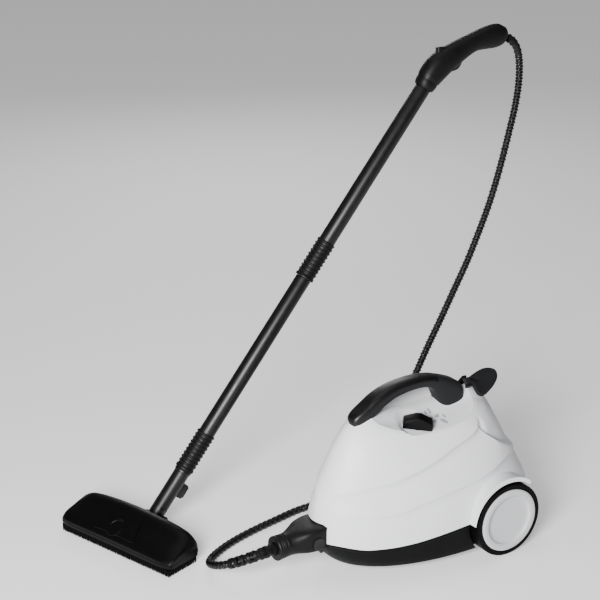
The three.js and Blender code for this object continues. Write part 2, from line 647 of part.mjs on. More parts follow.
const hoseCurve = new THREE.CatmullRomCurve3(HOSE_ROUTE);
hoseCurve.arcLengthDivisions = 2000;
const hoseLength = hoseCurve.getLength();
const RELIEF_LENGTH = 92;
const GUN_RELIEF_LENGTH = 22;
const fraction = (length) => length / hoseLength;

function addHose() {
  const from = fraction(GUN_RELIEF_LENGTH + 1.5);
  const to = 1 - fraction(RELIEF_LENGTH + 1.5);
  place("hose", swept(hoseCurve, HOSE_RADIUS, 64, 8, from, to), "softBlack");
  const middle = RELIEF_LENGTH * 0.5;
  const thick = swept(hoseCurve, 12, 5, 12, 1 - fraction(middle), 1);
  const thin = swept(hoseCurve, 10, 5, 12, 1 - fraction(RELIEF_LENGTH), 1 - fraction(middle - 1));
  place("strain_relief", add(toSolid(thick), toSolid(thin)), "softBlack");
  place("gun_relief", swept(hoseCurve, 9.5, 4, 14, 0, fraction(GUN_RELIEF_LENGTH)), "softBlack");
}
addHose();

// ---------------------------------------------------------------- tubes; +Z runs up the wand

const wand = new THREE.Group();
wand.position.copy(WAND_FOOT);
wand.rotation.set(Math.PI / 2 - WAND_ELEVATION, 0, Math.PI + WAND_YAW, "ZXY");
steamCleaner.add(wand);
wand.updateMatrix();

function ribbedSleeve(low) {
  const ribs = Math.floor((SLEEVE_LENGTH - 8) / RIB_PITCH);
  const points = [[TUBE_RADIUS + 0.3, low + 0.3], [TUBE_RADIUS + 1.6, low + 0.3]];
  for (let i = 0; i < ribs; i++) {
    const z = low + 4 + i * RIB_PITCH;
    points.push([TUBE_RADIUS + 3.2, z + 3], [TUBE_RADIUS + 1, z + RIB_PITCH - 0.5]);
  }
  points.push([TUBE_RADIUS + 0.3, low + SLEEVE_LENGTH - 0.3], points[0]);
  return turned(points, 16);
}

// One extension tube: a pipe from its own sleeve up to the next joint, and a narrower spigot below it.
function extensionTube(low) {
  const high = low + SLEEVE_LENGTH + TUBE_LENGTH - GAP;
  return turned(
    [
      [TUBE_BORE - 2.5, low + 12], [TUBE_RADIUS, low + 12], [TUBE_RADIUS, low + 120],
      [TUBE_RADIUS - 0.6, high], [TUBE_BORE, high], [TUBE_BORE - 2.5, low + 60],
      [TUBE_BORE - 2.5, low + 12],
    ],
    16,
  );
}

const lowerTubeStart = NECK_LENGTH;
const upperTubeStart = NECK_LENGTH + SLEEVE_LENGTH + TUBE_LENGTH;
place("lower_tube", extensionTube(lowerTubeStart), "black", wand);
place("lower_tube_sleeve", ribbedSleeve(lowerTubeStart), "softBlack", wand);
place("upper_tube", extensionTube(upperTubeStart), "black", wand);
place("upper_tube_sleeve", ribbedSleeve(upperTubeStart), "softBlack", wand);

// The floor head's neck, with its swivel foot below and its latch button on the underside.
function addNeck() {
  const pipe = add(toSolid(rod(16, 14, NECK_LENGTH - GAP, 10, 16)), toSolid(rod(12, 14, 21, 0, 16)));
  const rolled = (geometry) => toSolid(moved(geometry, 0, 0, SWIVEL_UP).rotateZ(SWIVEL_ROLL));
  const foot = rolled(alongY(rod(8, -6, 6, 0, 16)));
  const link = rolled(new THREE.BoxGeometry(12, 12, 16).translate(0, 0, 8));
  const pinHole = rolled(alongY(rod(SWIVEL_PIN_RADIUS + GAP, -20, 20, 0, 12)));
  const seat = box(0, -18, 60, 14, 20, 30);
  const pocket = box(0, -25, 60, 10.6, 18, 24.6);
  place("head_neck", cut(add(pipe, foot, link, seat), pinHole, pocket), "black", wand);
  place("neck_latch", moved(new THREE.BoxGeometry(10, 12, 24), 0, -26, 60), "black", wand);
}
addNeck();

// ---------------------------------------------------------------- gun

// The gun's middle line from its mouth to the hose: how far up the wand, height above its line,
// half depth, half width.
const GUN_STATIONS = [
  [GUN_START - 6, 0, 19.8, 19.8],
  [GUN_START + 24, 0, 25, 22],
  [GUN_START + 50, -5, 26.5, 22],
  [GUN_START + 74, -15, 24.5, 21],
  [GUN_START + 96, -26, 21.5, 19],
  [GUN_START + 123, -42, 19, 18],
  [GUN_START + 144, -61, 22, 18.5],
  [GUN_START + 158, -76, 23.5, 18.5],
  [GUN_START + 170, -88, 21, 17],
  [GUN_START + 179, -96, 12, 11],
];

function gunRings(shrink) {
  const middle = (i) => new THREE.Vector3(0, GUN_STATIONS[i][1], GUN_STATIONS[i][0]);
  return GUN_STATIONS.map(([, , depth, width], i) => {
    const last = GUN_STATIONS.length - 1;
    const along = middle(Math.min(i + 1, last)).sub(middle(Math.max(i - 1, 0))).normalize();
    const across = new THREE.Vector3(0, along.z, -along.y);
    return angles(16).map((angle) => {
      const [c, s] = rounded(angle, 2.2);
      const sideways = new THREE.Vector3((width - shrink) * c, 0, 0);
      return middle(i).add(sideways).addScaledVector(across, (depth - shrink) * s);
    });
  });
}

const TRIGGER_PIVOT = [-27, GUN_START + 56]; // above the wand's line, and up it
const TRIGGER_OUTLINE = [[-30, 50], [-22, 58], [-27, 82], [-37, 86], [-43, 79], [-44, 66], [-39, 57]];
const LOCK_AT = [8, GUN_START + 71];
const LOCK_TILT = THREE.MathUtils.degToRad(-35);

function addGun() {
  const outside = toSolid(loft(gunRings(0)));
  const inside = toSolid(loft(gunRings(2.5).slice(1, -1)));
  const mouth = toSolid(rod(TUBE_RADIUS + 0.3, GUN_START - 20, GUN_START + 20, 0, 24));
  const hoseEnd = swept(hoseCurve, 9.8, 4, 14, 0, fraction(GUN_RELIEF_LENGTH));
  const hoseHole = toSolid(hoseEnd.applyMatrix4(wand.matrix.clone().invert()));
  const triggerSlot = box(0, -40, GUN_START + 68, 13, 44, 44);
  const lockRoom = new THREE.BoxGeometry(13, 19, 30).translate(0, 2, -3.5).rotateX(LOCK_TILT);
  const lockSlot = toSolid(moved(lockRoom, 0, ...LOCK_AT));
  const pinHole = toSolid(moved(alongX(rod(2.3, -30, 30, 0, 12)), 0, ...TRIGGER_PIVOT));
  const body = cut(outside, inside, mouth, hoseHole, triggerSlot, lockSlot, pinHole);
  const half = (side) => largest(body.intersect(box(side * 50.1, -40, GUN_START + 80, 100, 260, 320)));
  place("gun_shell_left", half(1), "black", wand);
  place("gun_shell_right", half(-1), "black", wand);
}
addGun();

function addGunControls() {
  const lever = TRIGGER_OUTLINE.map(([y, z]) => [y, GUN_START + z]);
  const pivot = toSolid(moved(alongX(rod(2, -13, 13, 0, 12)), 0, ...TRIGGER_PIVOT));
  place("gun_trigger", toSolid(prism(lever, -6, 6)).add(pivot), "black", wand);
  const lock = new THREE.BoxGeometry(12, 18, 20).translate(0, 2, 0).rotateX(LOCK_TILT);
  place("gun_lock", moved(lock, 0, ...LOCK_AT), "black", wand);
}
addGunControls();

// ---------------------------------------------------------------- floor head

const head = new THREE.Group();
head.position.copy(HEAD_CENTRE);
head.rotation.z = HEAD_YAW;
steamCleaner.add(head);
head.updateMatrix();

// The hood along its length: distance from the middle as a fraction, ridge height, front and rear
// inset, front lip height.
const HOOD_STATIONS = [
  [-1, 43, 10, 6, 27],
  [-0.96, 53, 4, 2, 28],
  [-0.8, 64, 0, 0, 30],
  [-0.3, 72, 0, 0, 31],
  [0.3, 72, 0, 0, 31],
  [0.8, 65, 0, 0, 30],
  [0.96, 54, 4, 2, 28],
  [1, 44, 10, 6, 27],
];
const HOOD_BOTTOM = 18;

function hoodRings(inset) {
  const half = HEAD_DEPTH / 2 - inset;
  return HOOD_STATIONS.map(([at, ridge, front, rear, lip]) => {
    const x = at * (HEAD_LENGTH / 2 - inset);
    const low = HOOD_BOTTOM - (inset > 0 ? 6 : 0);
    const section = [
      [-half + front, low], [half - rear, low],
      [half - rear + 3, ridge - 18 - inset], [half - rear - 2, ridge - 6 - inset],
      [half - rear - 10, ridge - inset], [half - rear - 24, ridge - 3 - inset],
      [0, (ridge + lip) / 2 + 4 - inset],
      [-half + front + 8, lip + 5 - inset], [-half + front, lip - inset],
    ];
    return section.map(([y, z]) => new THREE.Vector3(x, y, z));
  });
}

// The yoke pitches in the hood's lugs about X, and carries the neck's swivel pin along its own Y.
const yoke = new THREE.Group();
const swivelPoint = new THREE.Vector3(0, 0, SWIVEL_UP).applyMatrix4(wand.matrix);
yoke.rotation.x = -YOKE_TILT;
yoke.position.copy(swivelPoint).applyMatrix4(head.matrix.clone().invert());
yoke.position.y -= YOKE_REACH * Math.sin(YOKE_TILT);
yoke.position.z -= YOKE_REACH * Math.cos(YOKE_TILT);
head.add(yoke);

const PITCH_PIN_RADIUS = 4;
const LUG_X = 21.5;

function addHead() {
  const onPitchAxis = (geometry) => toSolid(moved(geometry, ...yoke.position.toArray()));
  const outside = toSolid(loft(hoodRings(0)));
  const inside = toSolid(loft(hoodRings(WALL).slice(1, -1)));
  const lugs = [LUG_X, -LUG_X].map((x) => onPitchAxis(alongX(rod(10, x - 4, x + 4, 0, 16))));
  const arm = (x) => new THREE.BoxGeometry(8, 28, 16).translate(x, -14, -2);
  const arms = [LUG_X, -LUG_X].map((x) => onPitchAxis(arm(x)));
  const pinHole = onPitchAxis(alongX(rod(PITCH_PIN_RADIUS + GAP, -40, 40, 0, 16)));
  place("head_hood", cut(add(cut(outside, inside), ...lugs, ...arms), pinHole), "black", head);
  place("pitch_pin", onPitchAxis(alongX(rod(PITCH_PIN_RADIUS, -27, 27, 0, 16))), "steel", head);
  place("head_plate", box(0, 0, 19, HEAD_LENGTH - 24, HEAD_DEPTH - 16, 6), "softBlack", head);
  const [length, depth, height] = [HEAD_LENGTH - 11, HEAD_DEPTH - 6, 15.6];
  const bristleBlock = box(0, 0, height / 2, length, depth, height);
  const ring = cut(bristleBlock, box(0, 0, height / 2, length - 28, depth - 28, 20));
  place("bristles", ring, "softBlack", head);
}
addHead();

function addYoke() {
  const barrel = add(toSolid(alongX(rod(7, -17, 17, 0, 16))), box(0, 0, -0.3, 16, 21.2, 13.4));
  const cheeks = [8.6, -8.6].map((y) => box(0, y, YOKE_REACH / 2, 16, 4, YOKE_REACH));
  const eyes = [8.6, -8.6].map((y) => toSolid(moved(alongY(rod(8, y - 2, y + 2, 0, 16)), 0, 0, YOKE_REACH)));
  const pin = toSolid(moved(alongY(rod(SWIVEL_PIN_RADIUS, -9, 9, 0, 12)), 0, 0, YOKE_REACH));
  const pitchHole = toSolid(alongX(rod(PITCH_PIN_RADIUS + GAP, -40, 40, 0, 16)));
  place("head_yoke", cut(add(barrel, ...cheeks, ...eyes, pin), pitchHole), "black", yoke);
}
addYoke();

export default steamCleaner;
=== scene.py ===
"""Looks for the canister steam cleaner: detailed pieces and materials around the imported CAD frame."""
import math
import random

import bmesh
import bpy
from mathutils import Matrix, Vector


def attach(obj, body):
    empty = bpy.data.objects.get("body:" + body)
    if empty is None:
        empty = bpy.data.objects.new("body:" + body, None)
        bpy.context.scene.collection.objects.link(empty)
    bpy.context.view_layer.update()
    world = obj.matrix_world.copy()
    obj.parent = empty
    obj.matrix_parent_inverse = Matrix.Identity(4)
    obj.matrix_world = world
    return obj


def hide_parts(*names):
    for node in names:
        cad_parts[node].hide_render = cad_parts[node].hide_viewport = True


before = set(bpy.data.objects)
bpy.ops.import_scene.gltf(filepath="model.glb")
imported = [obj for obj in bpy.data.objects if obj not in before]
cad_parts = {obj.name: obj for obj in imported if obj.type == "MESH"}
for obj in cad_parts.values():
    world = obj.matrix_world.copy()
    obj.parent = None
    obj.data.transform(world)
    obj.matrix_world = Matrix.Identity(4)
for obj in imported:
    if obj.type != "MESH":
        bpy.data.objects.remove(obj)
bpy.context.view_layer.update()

random.seed(7)

# ---------------------------------------------------------------- frames; lengths are in millimetres

TURN = 2 * math.pi
MM = 0.001
MACHINE = Matrix.Diagonal((MM, MM, MM, 1)) @ Matrix.Translation((142, 87, 0))
# Stands a flat outline up: its x becomes y, its y becomes z, its thickness becomes x.
YZ_PRISM = Matrix(((0, 0, 1, 0), (1, 0, 0, 0), (0, 1, 0, 0), (0, 0, 0, 1)))


def at(x=0, y=0, z=0):
    return Matrix.Translation((x, y, z))


def turn(axis, degrees):
    return Matrix.Rotation(math.radians(degrees), 4, axis)


def clamp(value, low=0.0, high=1.0):
    return max(low, min(high, value))


def step(value, low, high):
    u = clamp((value - low) / (high - low))
    return u * u * (3 - 2 * u)


def smooth(table, column, t):
    """One column of a table at t, on a smooth curve; the first column holds the rising stations."""
    last = len(table) - 1
    i = next((k for k in range(1, last) if table[k][0] > t), last) - 1
    before, start, end, after = (table[int(clamp(k, 0, last))] for k in (i - 1, i, i + 1, i + 2))
    span = end[0] - start[0]

    def slope(a, b):
        return (b[column] - a[column]) / (b[0] - a[0]) if b[0] > a[0] else 0.0

    low, high = slope(before, end) * span, slope(start, after) * span
    u = clamp((t - start[0]) / span)
    return (
        (2 * u**3 - 3 * u**2 + 1) * start[column]
        + (u**3 - 2 * u**2 + u) * low
        + (3 * u**2 - 2 * u**3) * end[column]
        + (u**3 - u**2) * high
    )


def refined(table, count):
    """The rows of a table, resampled to an even, smooth run of count rows."""
    rows = [(i, *row) for i, row in enumerate(table)]
    stops = [i * (len(table) - 1) / (count - 1) for i in range(count)]
    return [[smooth(rows, column + 1, stop) for column in range(len(table[0]))] for stop in stops]


def rounded(angle, exponent):
    """A superellipse's unit point; a higher exponent is squarer."""
    c, s = math.cos(angle), math.sin(angle)
    return math.copysign(abs(c) ** (2 / exponent), c), math.copysign(abs(s) ** (2 / exponent), s)


def ring_angles(count):
    return [TURN * i / count for i in range(count)]


# ---------------------------------------------------------------- forms: (points, faces)


def loft(rings, close=True):
    """Skin over rings of equal length, with a fan over each end."""
    n = len(rings[0])
    points = [Vector(p) for ring in rings for p in ring]
    faces = [
        (r * n + i, r * n + (i + 1) % n, (r + 1) * n + (i + 1) % n, (r + 1) * n + i)
        for r in range(len(rings) - 1)
        for i in range(n)
    ]
    if close:
        for ring, base, forward in ((rings[0], 0, False), (rings[-1], (len(rings) - 1) * n, True)):
            hub = len(points)
            points.append(sum((Vector(p) for p in ring), Vector()) / n)
            for i in range(n):
                a, b = base + i, base + (i + 1) % n
                faces.append((hub, a, b) if forward else (hub, b, a))
    return points, faces


def lathe(profile, sides=64, close=False):
    """(radius, z) points turned about Z. A profile that starts and ends on the axis is closed by its fans."""
    rings = [[(r * math.cos(a), r * math.sin(a), z) for a in ring_angles(sides)] for r, z in profile]
    if close:
        return loft(rings + [rings[0]], close=False)
    return loft(rings)


def slab(outline, low, high):
    """A flat outline of (x, y) points given thickness from z low to z high."""
    return loft([[(x, y, low) for x, y in outline], [(x, y, high) for x, y in outline]])


def block(width, depth, height):
    x, y, z = width / 2, depth / 2, height / 2
    return slab([(-x, -y), (x, -y), (x, y), (-x, y)], -z, z)


def rod(radius, low, high, sides=48):
    return lathe([(radius, low), (radius, high)], sides)


def moved(form, matrix):
    return [matrix @ Vector(p) for p in form[0]], form[1]


def joined(*forms):
    points, faces = [], []
    for form in forms:
        base = len(points)
        points += form[0]
        faces += [tuple(i + base for i in face) for face in form[1]]
    return points, faces


def sweep(path, radius, sides=16):
    """A tube along evenly spaced points. radius(length so far, angle) gives its surface."""
    rings, travelled = [], 0.0
    side = Vector((1, 0, 0))
    for i, p in enumerate(path):
        along = (path[min(i + 1, len(path) - 1)] - path[max(i - 1, 0)]).normalized()
        side = (side - along * side.dot(along)).normalized()
        other = along.cross(side)
        travelled += (p - path[i - 1]).length if i else 0.0
        turned = [(a, side * math.cos(a) + other * math.sin(a)) for a in ring_angles(sides)]
        rings.append([p + outward * radius(travelled, a) for a, outward in turned])
    return loft(rings)


def spline(points, spacing):
    """Evenly spaced points on a smooth curve through the given ones."""
    dense = [Vector(p) for p in refined(points, 40 * len(points))]
    total = [0.0]
    for a, b in zip(dense, dense[1:]):
        total.append(total[-1] + (b - a).length)
    count = max(2, round(total[-1] / spacing))
    result, k = [], 0
    for i in range(count + 1):
        goal = total[-1] * i / count
        while k < len(total) - 2 and total[k + 1] < goal:
            k += 1
        result.append(dense[k].lerp(dense[k + 1], clamp((goal - total[k]) / (total[k + 1] - total[k]))))
    return result


# ---------------------------------------------------------------- objects

WELD = 1e-7


def raw(form, place=Matrix()):
    """A bare object, outward-facing, in the frame's metres."""
    mesh = bpy.data.meshes.new("form")
    matrix = MACHINE @ place
    mesh.from_pydata([matrix @ Vector(p) for p in form[0]], [], form[1])
    work = bmesh.new()
    work.from_mesh(mesh)
    bmesh.ops.remove_doubles(work, verts=work.verts, dist=WELD)
    bmesh.ops.recalc_face_normals(work, faces=work.faces)
    work.to_mesh(mesh)
    work.free()
    thing = bpy.data.objects.new("form", mesh)
    bpy.context.scene.collection.objects.link(thing)
    return thing


def applied(thing):
    """Turns an object's modifiers into its mesh."""
    bpy.context.view_layer.update()
    mesh = bpy.data.meshes.new_from_object(thing.evaluated_get(bpy.context.evaluated_depsgraph_get()))
    thing.modifiers.clear()
    thing.data = mesh
    return thing


def combine(thing, operation, *others):
    """Boolean of an object with bare ones, which are used up."""
    for other in others:
        modifier = thing.modifiers.new("combine", "BOOLEAN")
        modifier.operation, modifier.object, modifier.solver = operation, other, "MANIFOLD"
        applied(thing)
        bpy.data.objects.remove(other)
    return thing


def cut(thing, *others):
    return combine(thing, "DIFFERENCE", *others)


def unite(thing, *others):
    return combine(thing, "UNION", *others)


def common(thing, other):
    return combine(thing, "INTERSECT", other)


def eased(thing, width, segments=2, angle=35):
    """Rounds every edge sharper than angle by width millimetres."""
    modifier = thing.modifiers.new("ease", "BEVEL")
    modifier.width, modifier.segments = width * MM, segments
    modifier.limit_method, modifier.angle_limit = "ANGLE", math.radians(angle)
    modifier.use_clamp_overlap = True
    return applied(thing)


def finished(thing, name, look, body, *nodes, sharp=32):
    """Names a piece, gives it its look and body, and hides the CAD nodes it stands for."""
    thing.name = thing.data.name = name
    for face in thing.data.polygons:
        face.use_smooth = True
    work = bmesh.new()
    work.from_mesh(thing.data)
    for edge in work.edges:
        edge.smooth = len(edge.link_faces) == 2 and edge.calc_face_angle(0) < math.radians(sharp)
    work.to_mesh(thing.data)
    work.free()
    thing.data.materials.clear()
    thing.data.materials.append(LOOKS[look])
    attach(thing, body)
    if nodes:
        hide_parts(*nodes)
    return thing


def piece(name, look, body, form, *nodes, place=Matrix(), sharp=32, ease=0.0):
    """A form made into a finished piece."""
    thing = raw(form, place)
    if ease:
        eased(thing, ease)
    return finished(thing, name, look, body, *nodes, sharp=sharp)


# ---------------------------------------------------------------- materials


def look(
    name, colour, roughness, metallic=0.0, grain=0.0006, depth=0.00003, mottle=0.04, coat=0.0, wear=0.0, ripple=0.0,
    shine=0.5,
):
    """A moulded or metal surface: fine grain, slow colour and gloss changes, light rubbing on its edges."""
    material = bpy.data.materials.new(name)
    material.use_nodes = True
    nodes, links = material.node_tree.nodes, material.node_tree.links
    shader = nodes["Principled BSDF"]
    shader.inputs["Base Color"].default_value = (*colour, 1)
    shader.inputs["Roughness"].default_value = roughness
    shader.inputs["Metallic"].default_value = metallic
    shader.inputs["Specular IOR Level"].default_value = shine
    shader.inputs["Coat Weight"].default_value = coat
    shader.inputs["Coat Roughness"].default_value = 0.25
    place = nodes.new("ShaderNodeTexCoord").outputs["Object"]

    def noise(size, detail=3.0):
        node = nodes.new("ShaderNodeTexNoise")
        node.inputs["Scale"].default_value = 1 / size
        node.inputs["Detail"].default_value = detail
        links.new(place, node.inputs["Vector"])
        return node.outputs["Fac"]

    def ranged(value, low, high, from_low=0.3, from_high=0.7):
        node = nodes.new("ShaderNodeMapRange")
        for key, number in (("From Min", from_low), ("From Max", from_high), ("To Min", low), ("To Max", high)):
            node.inputs[key].default_value = number
        links.new(value, node.inputs["Value"])
        return node.outputs["Result"]

    def mixed(factor, first, second):
        node = nodes.new("ShaderNodeMix")
        node.data_type = "RGBA"
        links.new(factor, node.inputs["Factor"])
        for socket, value in ((node.inputs["A"], first), (node.inputs["B"], second)):
            if isinstance(value, tuple):
                socket.default_value = (*value, 1)
            else:
                links.new(value, socket)
        return node.outputs["Result"]

    def shaded(factor):
        return tuple(clamp(channel * factor) for channel in colour)

    tone = mixed(ranged(noise(0.06), 0, 1), shaded(1 - mottle), shaded(1 + mottle))
    gloss = ranged(noise(0.012), roughness * 0.9, roughness * 1.1)
    if wear:
        edge = ranged(nodes.new("ShaderNodeNewGeometry").outputs["Pointiness"], 0, wear, 0.52, 0.62)
        tone = mixed(edge, tone, tuple(clamp(channel * 1.4 + 0.03) for channel in colour))
    links.new(tone, shader.inputs["Base Color"])
    links.new(gloss, shader.inputs["Roughness"])
    pits = nodes.new("ShaderNodeTexVoronoi")
    pits.inputs["Scale"].default_value = 1 / grain
    links.new(place, pits.inputs["Vector"])
    bump = nodes.new("ShaderNodeBump")
    bump.inputs["Distance"].default_value = depth
    links.new(pits.outputs["Distance"], bump.inputs["Height"])
    normal = bump.outputs["Normal"]
    if ripple:
        wave = nodes.new("ShaderNodeBump")
        wave.inputs["Distance"].default_value = ripple
        links.new(noise(0.008, 1.0), wave.inputs["Height"])
        links.new(normal, wave.inputs["Normal"])
        normal = wave.outputs["Normal"]
    links.new(normal, shader.inputs["Normal"])
    return material


LOOKS = {
    "white": look(
        "white_satin", (0.66, 0.666, 0.685), 0.42, grain=0.0009, depth=0.00001, mottle=0.012, ripple=0.00002, shine=0.3,
    ),
    "charcoal": look(
        "charcoal_grained", (0.0032, 0.0033, 0.0036), 0.48, depth=0.00004, mottle=0.08, wear=0.06, shine=0.07,
    ),
    "black": look(
        "black_satin", (0.0018, 0.0018, 0.0019), 0.4, depth=0.000015, mottle=0.1, wear=0.05, ripple=0.00001, shine=0.36,
    ),
    "grained": look("black_grained", (0.003, 0.003, 0.0032), 0.46, depth=0.00004, mottle=0.1, wear=0.06, shine=0.16),
    "soft_grey": look("grey_soft_grip", (0.012, 0.0122, 0.013), 0.46, mottle=0.08, wear=0.06, shine=0.1),
    "glossy": look("black_glossy", (0.0014, 0.0014, 0.0016), 0.4, depth=0.000006, mottle=0.1, shine=0.12),
    "hose": look(
        "hose_rubber", (0.0016, 0.0016, 0.0017), 0.26, grain=0.0012, depth=0.0001, mottle=0.15, wear=0.08, shine=0.3,
    ),
    "tyre": look(
        "tyre_rubber", (0.001, 0.001, 0.0011), 0.5, grain=0.0008, depth=0.00008, mottle=0.15, wear=0.05, shine=0.06,
    ),
    "bristle": look(
        "bristle_fibre", (0.0012, 0.0012, 0.0012), 0.55, grain=0.0005, depth=0.00006, mottle=0.3, shine=0.05,
    ),
    # The hub caps' colour: a light grey satin, darkened further by painted shade for their side-facing discs.
    "cap_grey_and_shade": look(
        "hub_cap_grey_and_painted_shade", (0.46, 0.465, 0.48), 0.36, grain=0.0009, depth=0.00001, mottle=0.015, shine=0.35,
    ),
    "steel": look("brushed_steel", (0.55, 0.56, 0.57), 0.3, 1.0, grain=0.0004, depth=0.00002, mottle=0.06),
    "aluminium": look("cast_aluminium", (0.6, 0.6, 0.61), 0.42, 1.0, grain=0.0012, depth=0.00008, mottle=0.05),
    "brass": look("turned_brass", (0.62, 0.42, 0.16), 0.3, 1.0, grain=0.0005, depth=0.00002, mottle=0.08),
    "insulation": look(
        "felt_insulation", (0.45, 0.43, 0.38), 0.95, grain=0.002, depth=0.0006, mottle=0.2, ripple=0.0005,
    ),
    "lens": look("lamp_lens", (0.32, 0.33, 0.35), 0.15, grain=0.003, depth=0.00002, mottle=0.02, coat=0.5),
    "mark": look("printed_grey", (0.33, 0.335, 0.35), 0.45, depth=0.000004, mottle=0.03),
}

# ---------------------------------------------------------------- camera, light and floor

AZIMUTH, ELEVATION = math.radians(57.2), math.radians(21.6)
CAMERA_PLACE, LENS, SENSOR = (2.49693, -1.68443, 1.6731), 102, 36
level = math.cos(ELEVATION)
back = Vector((math.sin(AZIMUTH) * level, -math.cos(AZIMUTH) * level, math.sin(ELEVATION)))
right = Vector((math.cos(AZIMUTH), math.sin(AZIMUTH), 0))
camera = bpy.data.objects.new("camera", bpy.data.cameras.new("camera"))
camera.data.lens, camera.data.sensor_width = LENS, SENSOR
facing = Matrix((right, back.cross(right), back)).transposed().to_4x4()
camera.matrix_world = Matrix.Translation(CAMERA_PLACE) @ facing
bpy.context.scene.collection.objects.link(camera)
bpy.context.scene.camera = camera


def soft_light(name, place, target, size, power):
    light = bpy.data.objects.new(name, bpy.data.lights.new(name, "AREA"))
    light.data.shape, light.data.size, light.data.energy = "DISK", size, power
    light.location = place
    light.rotation_euler = (Vector(place) - Vector(target)).to_track_quat("Z", "Y").to_euler()
    bpy.context.scene.collection.objects.link(light)


middle = (0.05, 0, 0.2)
soft_light("key", (1.85, -2.1, 1.5), middle, 1.1, 235)
soft_light("top", (-0.3, 0.1, 2.8), middle, 2.0, 14)
soft_light("rear", (-2.4, 1.2, 1.6), middle, 1.2, 22)

world = bpy.data.worlds.new("studio")
world.use_nodes = True
world.node_tree.nodes["Background"].inputs["Color"].default_value = (0.95, 0.96, 1, 1)
world.node_tree.nodes["Background"].inputs["Strength"].default_value = 0.12
bpy.context.scene.world = world

FLOOR_REACH = 20000
corners = [(x * FLOOR_REACH, y * FLOOR_REACH, 0) for x, y in ((-1, -1), (1, -1), (1, 1), (-1, 1))]
floor = raw((corners, [(0, 1, 2, 3)]))
floor.name = "floor"
floor.location.z = -0.0005
pale = look("pale_floor", (0.72, 0.72, 0.72), 0.7, grain=0.004, depth=0.00002, mottle=0.005)
glow = pale.node_tree.nodes["Principled BSDF"].inputs
glow["Emission Color"].default_value = (1, 1, 1, 1)
glow["Emission Strength"].default_value = 0.36
floor.data.materials.append(pale)

# ---------------------------------------------------------------- hose and its reliefs

HOSE_ROUTE = [
    (-229, 387, 912), (-231, 400, 903.5), (-235, 414, 890), (-240, 425.5, 870), (-243, 431.5, 848),
    (-245, 434, 823), (-246, 433, 795), (-246, 427, 758), (-245, 415.5, 715), (-242, 399.5, 665),
    (-238, 381, 615), (-234, 358.5, 562), (-231, 333, 510), (-227, 303, 455), (-222, 267, 400),
    (-217, 231, 345), (-213, 196, 292), (-209, 164, 240), (-207, 133, 188), (-207, 104, 140),
    (-208, 75, 94), (-210, 42, 52), (-211, 4, 22), (-211, -40, 9.5), (-211, -90, 8), (-209, -130, 8),
    (-199, -185, 8), (-188, -240, 8), (-174, -292, 8), (-157, -335, 8), (-137, -366, 10.5),
    (-114, -385, 17), (-91, -393, 26), (-68, -395, 36), (-46, -391, 47), (-28, -382, 57),
    (-14, -368, 66), (-5, -351, 72.5), (-1, -333, 76), (0, -312, 78),
]
HOSE_PITCH, HOSE_CORE = 6.5, 6.2
hose_path = spline(HOSE_ROUTE, HOSE_PITCH / 6)


def hose_surface(s, angle):
    """Rows of rounded knobs, each row turned half a knob from the last."""
    row = s / HOSE_PITCH
    knob = 0.5 + 0.5 * math.cos(5 * angle + math.pi * math.floor(row + 0.5))
    return HOSE_CORE + (0.9 + 1.5 * knob) * (0.5 + 0.5 * math.cos(TURN * row))


hose = piece("steam_hose", "hose", "hose_set", sweep(hose_path, hose_surface, 20), "hose", sharp=70)


RELIEF_LENGTH, RIB_PITCH, SLOT_DEPTH = 92, 11.5, 4.4


def relief_surface(s, angle):
    """A tapering sleeve with slots between its ribs; bridges across the slots alternate by a quarter turn."""
    outside = 10.2 + 2.2 * clamp(s / RELIEF_LENGTH)
    along = s / RIB_PITCH
    in_slot = abs(along - round(along)) < 0.27 and 4 < s < RELIEF_LENGTH - 6
    bridged = math.cos(2 * angle + math.pi * (round(along) % 2)) > 0.78
    return outside - SLOT_DEPTH if in_slot and not bridged else outside


def last(path, length):
    """The end of an evenly spaced path."""
    count = round(length / (path[1] - path[0]).length)
    return path[-count - 1 :]


relief = piece(
    "hose_relief", "grained", "hose_set",
    sweep(spline(last(hose_path, 90.5)[::12] + [hose_path[-1]], 1.15), relief_surface, 40),
    "strain_relief", sharp=40,
)
gun_end = spline(hose_path[:23:3], 1.0)
gun_relief = piece(
    "gun_hose_relief", "grained", "hose_set",
    sweep(gun_end, lambda s, a: hose_surface(s, a) + 0.8, 32), "gun_relief", sharp=40,
)

# ---------------------------------------------------------------- shell and base tray

# Height fraction from the seam to the deck's edge: half width, reach to front and rear, widest place.
SHELL_STATIONS = [
    (0.0, 129, 226, 252, 85), (0.15, 128, 227, 249, 84), (0.35, 121, 215, 231, 80), (0.58, 107, 191, 208, 72),
    (0.8, 92, 163, 182, 62), (0.93, 80, 136, 156, 54), (1.0, 72, 112, 128, 50),
]
# Depth fraction from the seam to the underside, in the same columns.
BASE_STATIONS = [
    (0.0, 128, 225, 250, 85), (0.5, 127, 208, 247, 82), (0.85, 125, 190, 240, 80), (1.0, 121, 176, 234, 80),
]
# The swirl ridges: degrees round from +X, height fraction, depth of the hollow under the ridge.
UPPER_RIDGE = [
    (-95, 0.3, 0), (-80, 0.41, 4), (-64, 0.5, 8), (-50, 0.565, 11), (-38, 0.61, 12), (-18, 0.73, 13), (-3, 0.83, 13),
    (14, 0.88, 12), (26, 0.93, 8), (34, 1.0, 0), (90, 1.0, 0),
]
LOWER_RIDGE = [
    (-95, 0.27, 0), (-72, 0.28, 4), (-60, 0.295, 7), (-46, 0.31, 9), (-34, 0.33, 10), (-24, 0.375, 11), (-4, 0.43, 10),
    (28, 0.51, 8), (50, 0.5, 7), (70, 0.45, 4), (90, 0.38, 0),
]
# The rear shoulder: the same columns, with the depth of the step above it.
SHOULDER = [(8, 0.94, 0), (20, 0.9, 4), (26, 0.77, 10), (36, 0.64, 12), (54, 0.52, 10), (74, 0.44, 6), (90, 0.4, 4)]
RIDGE_REACH = 0.4
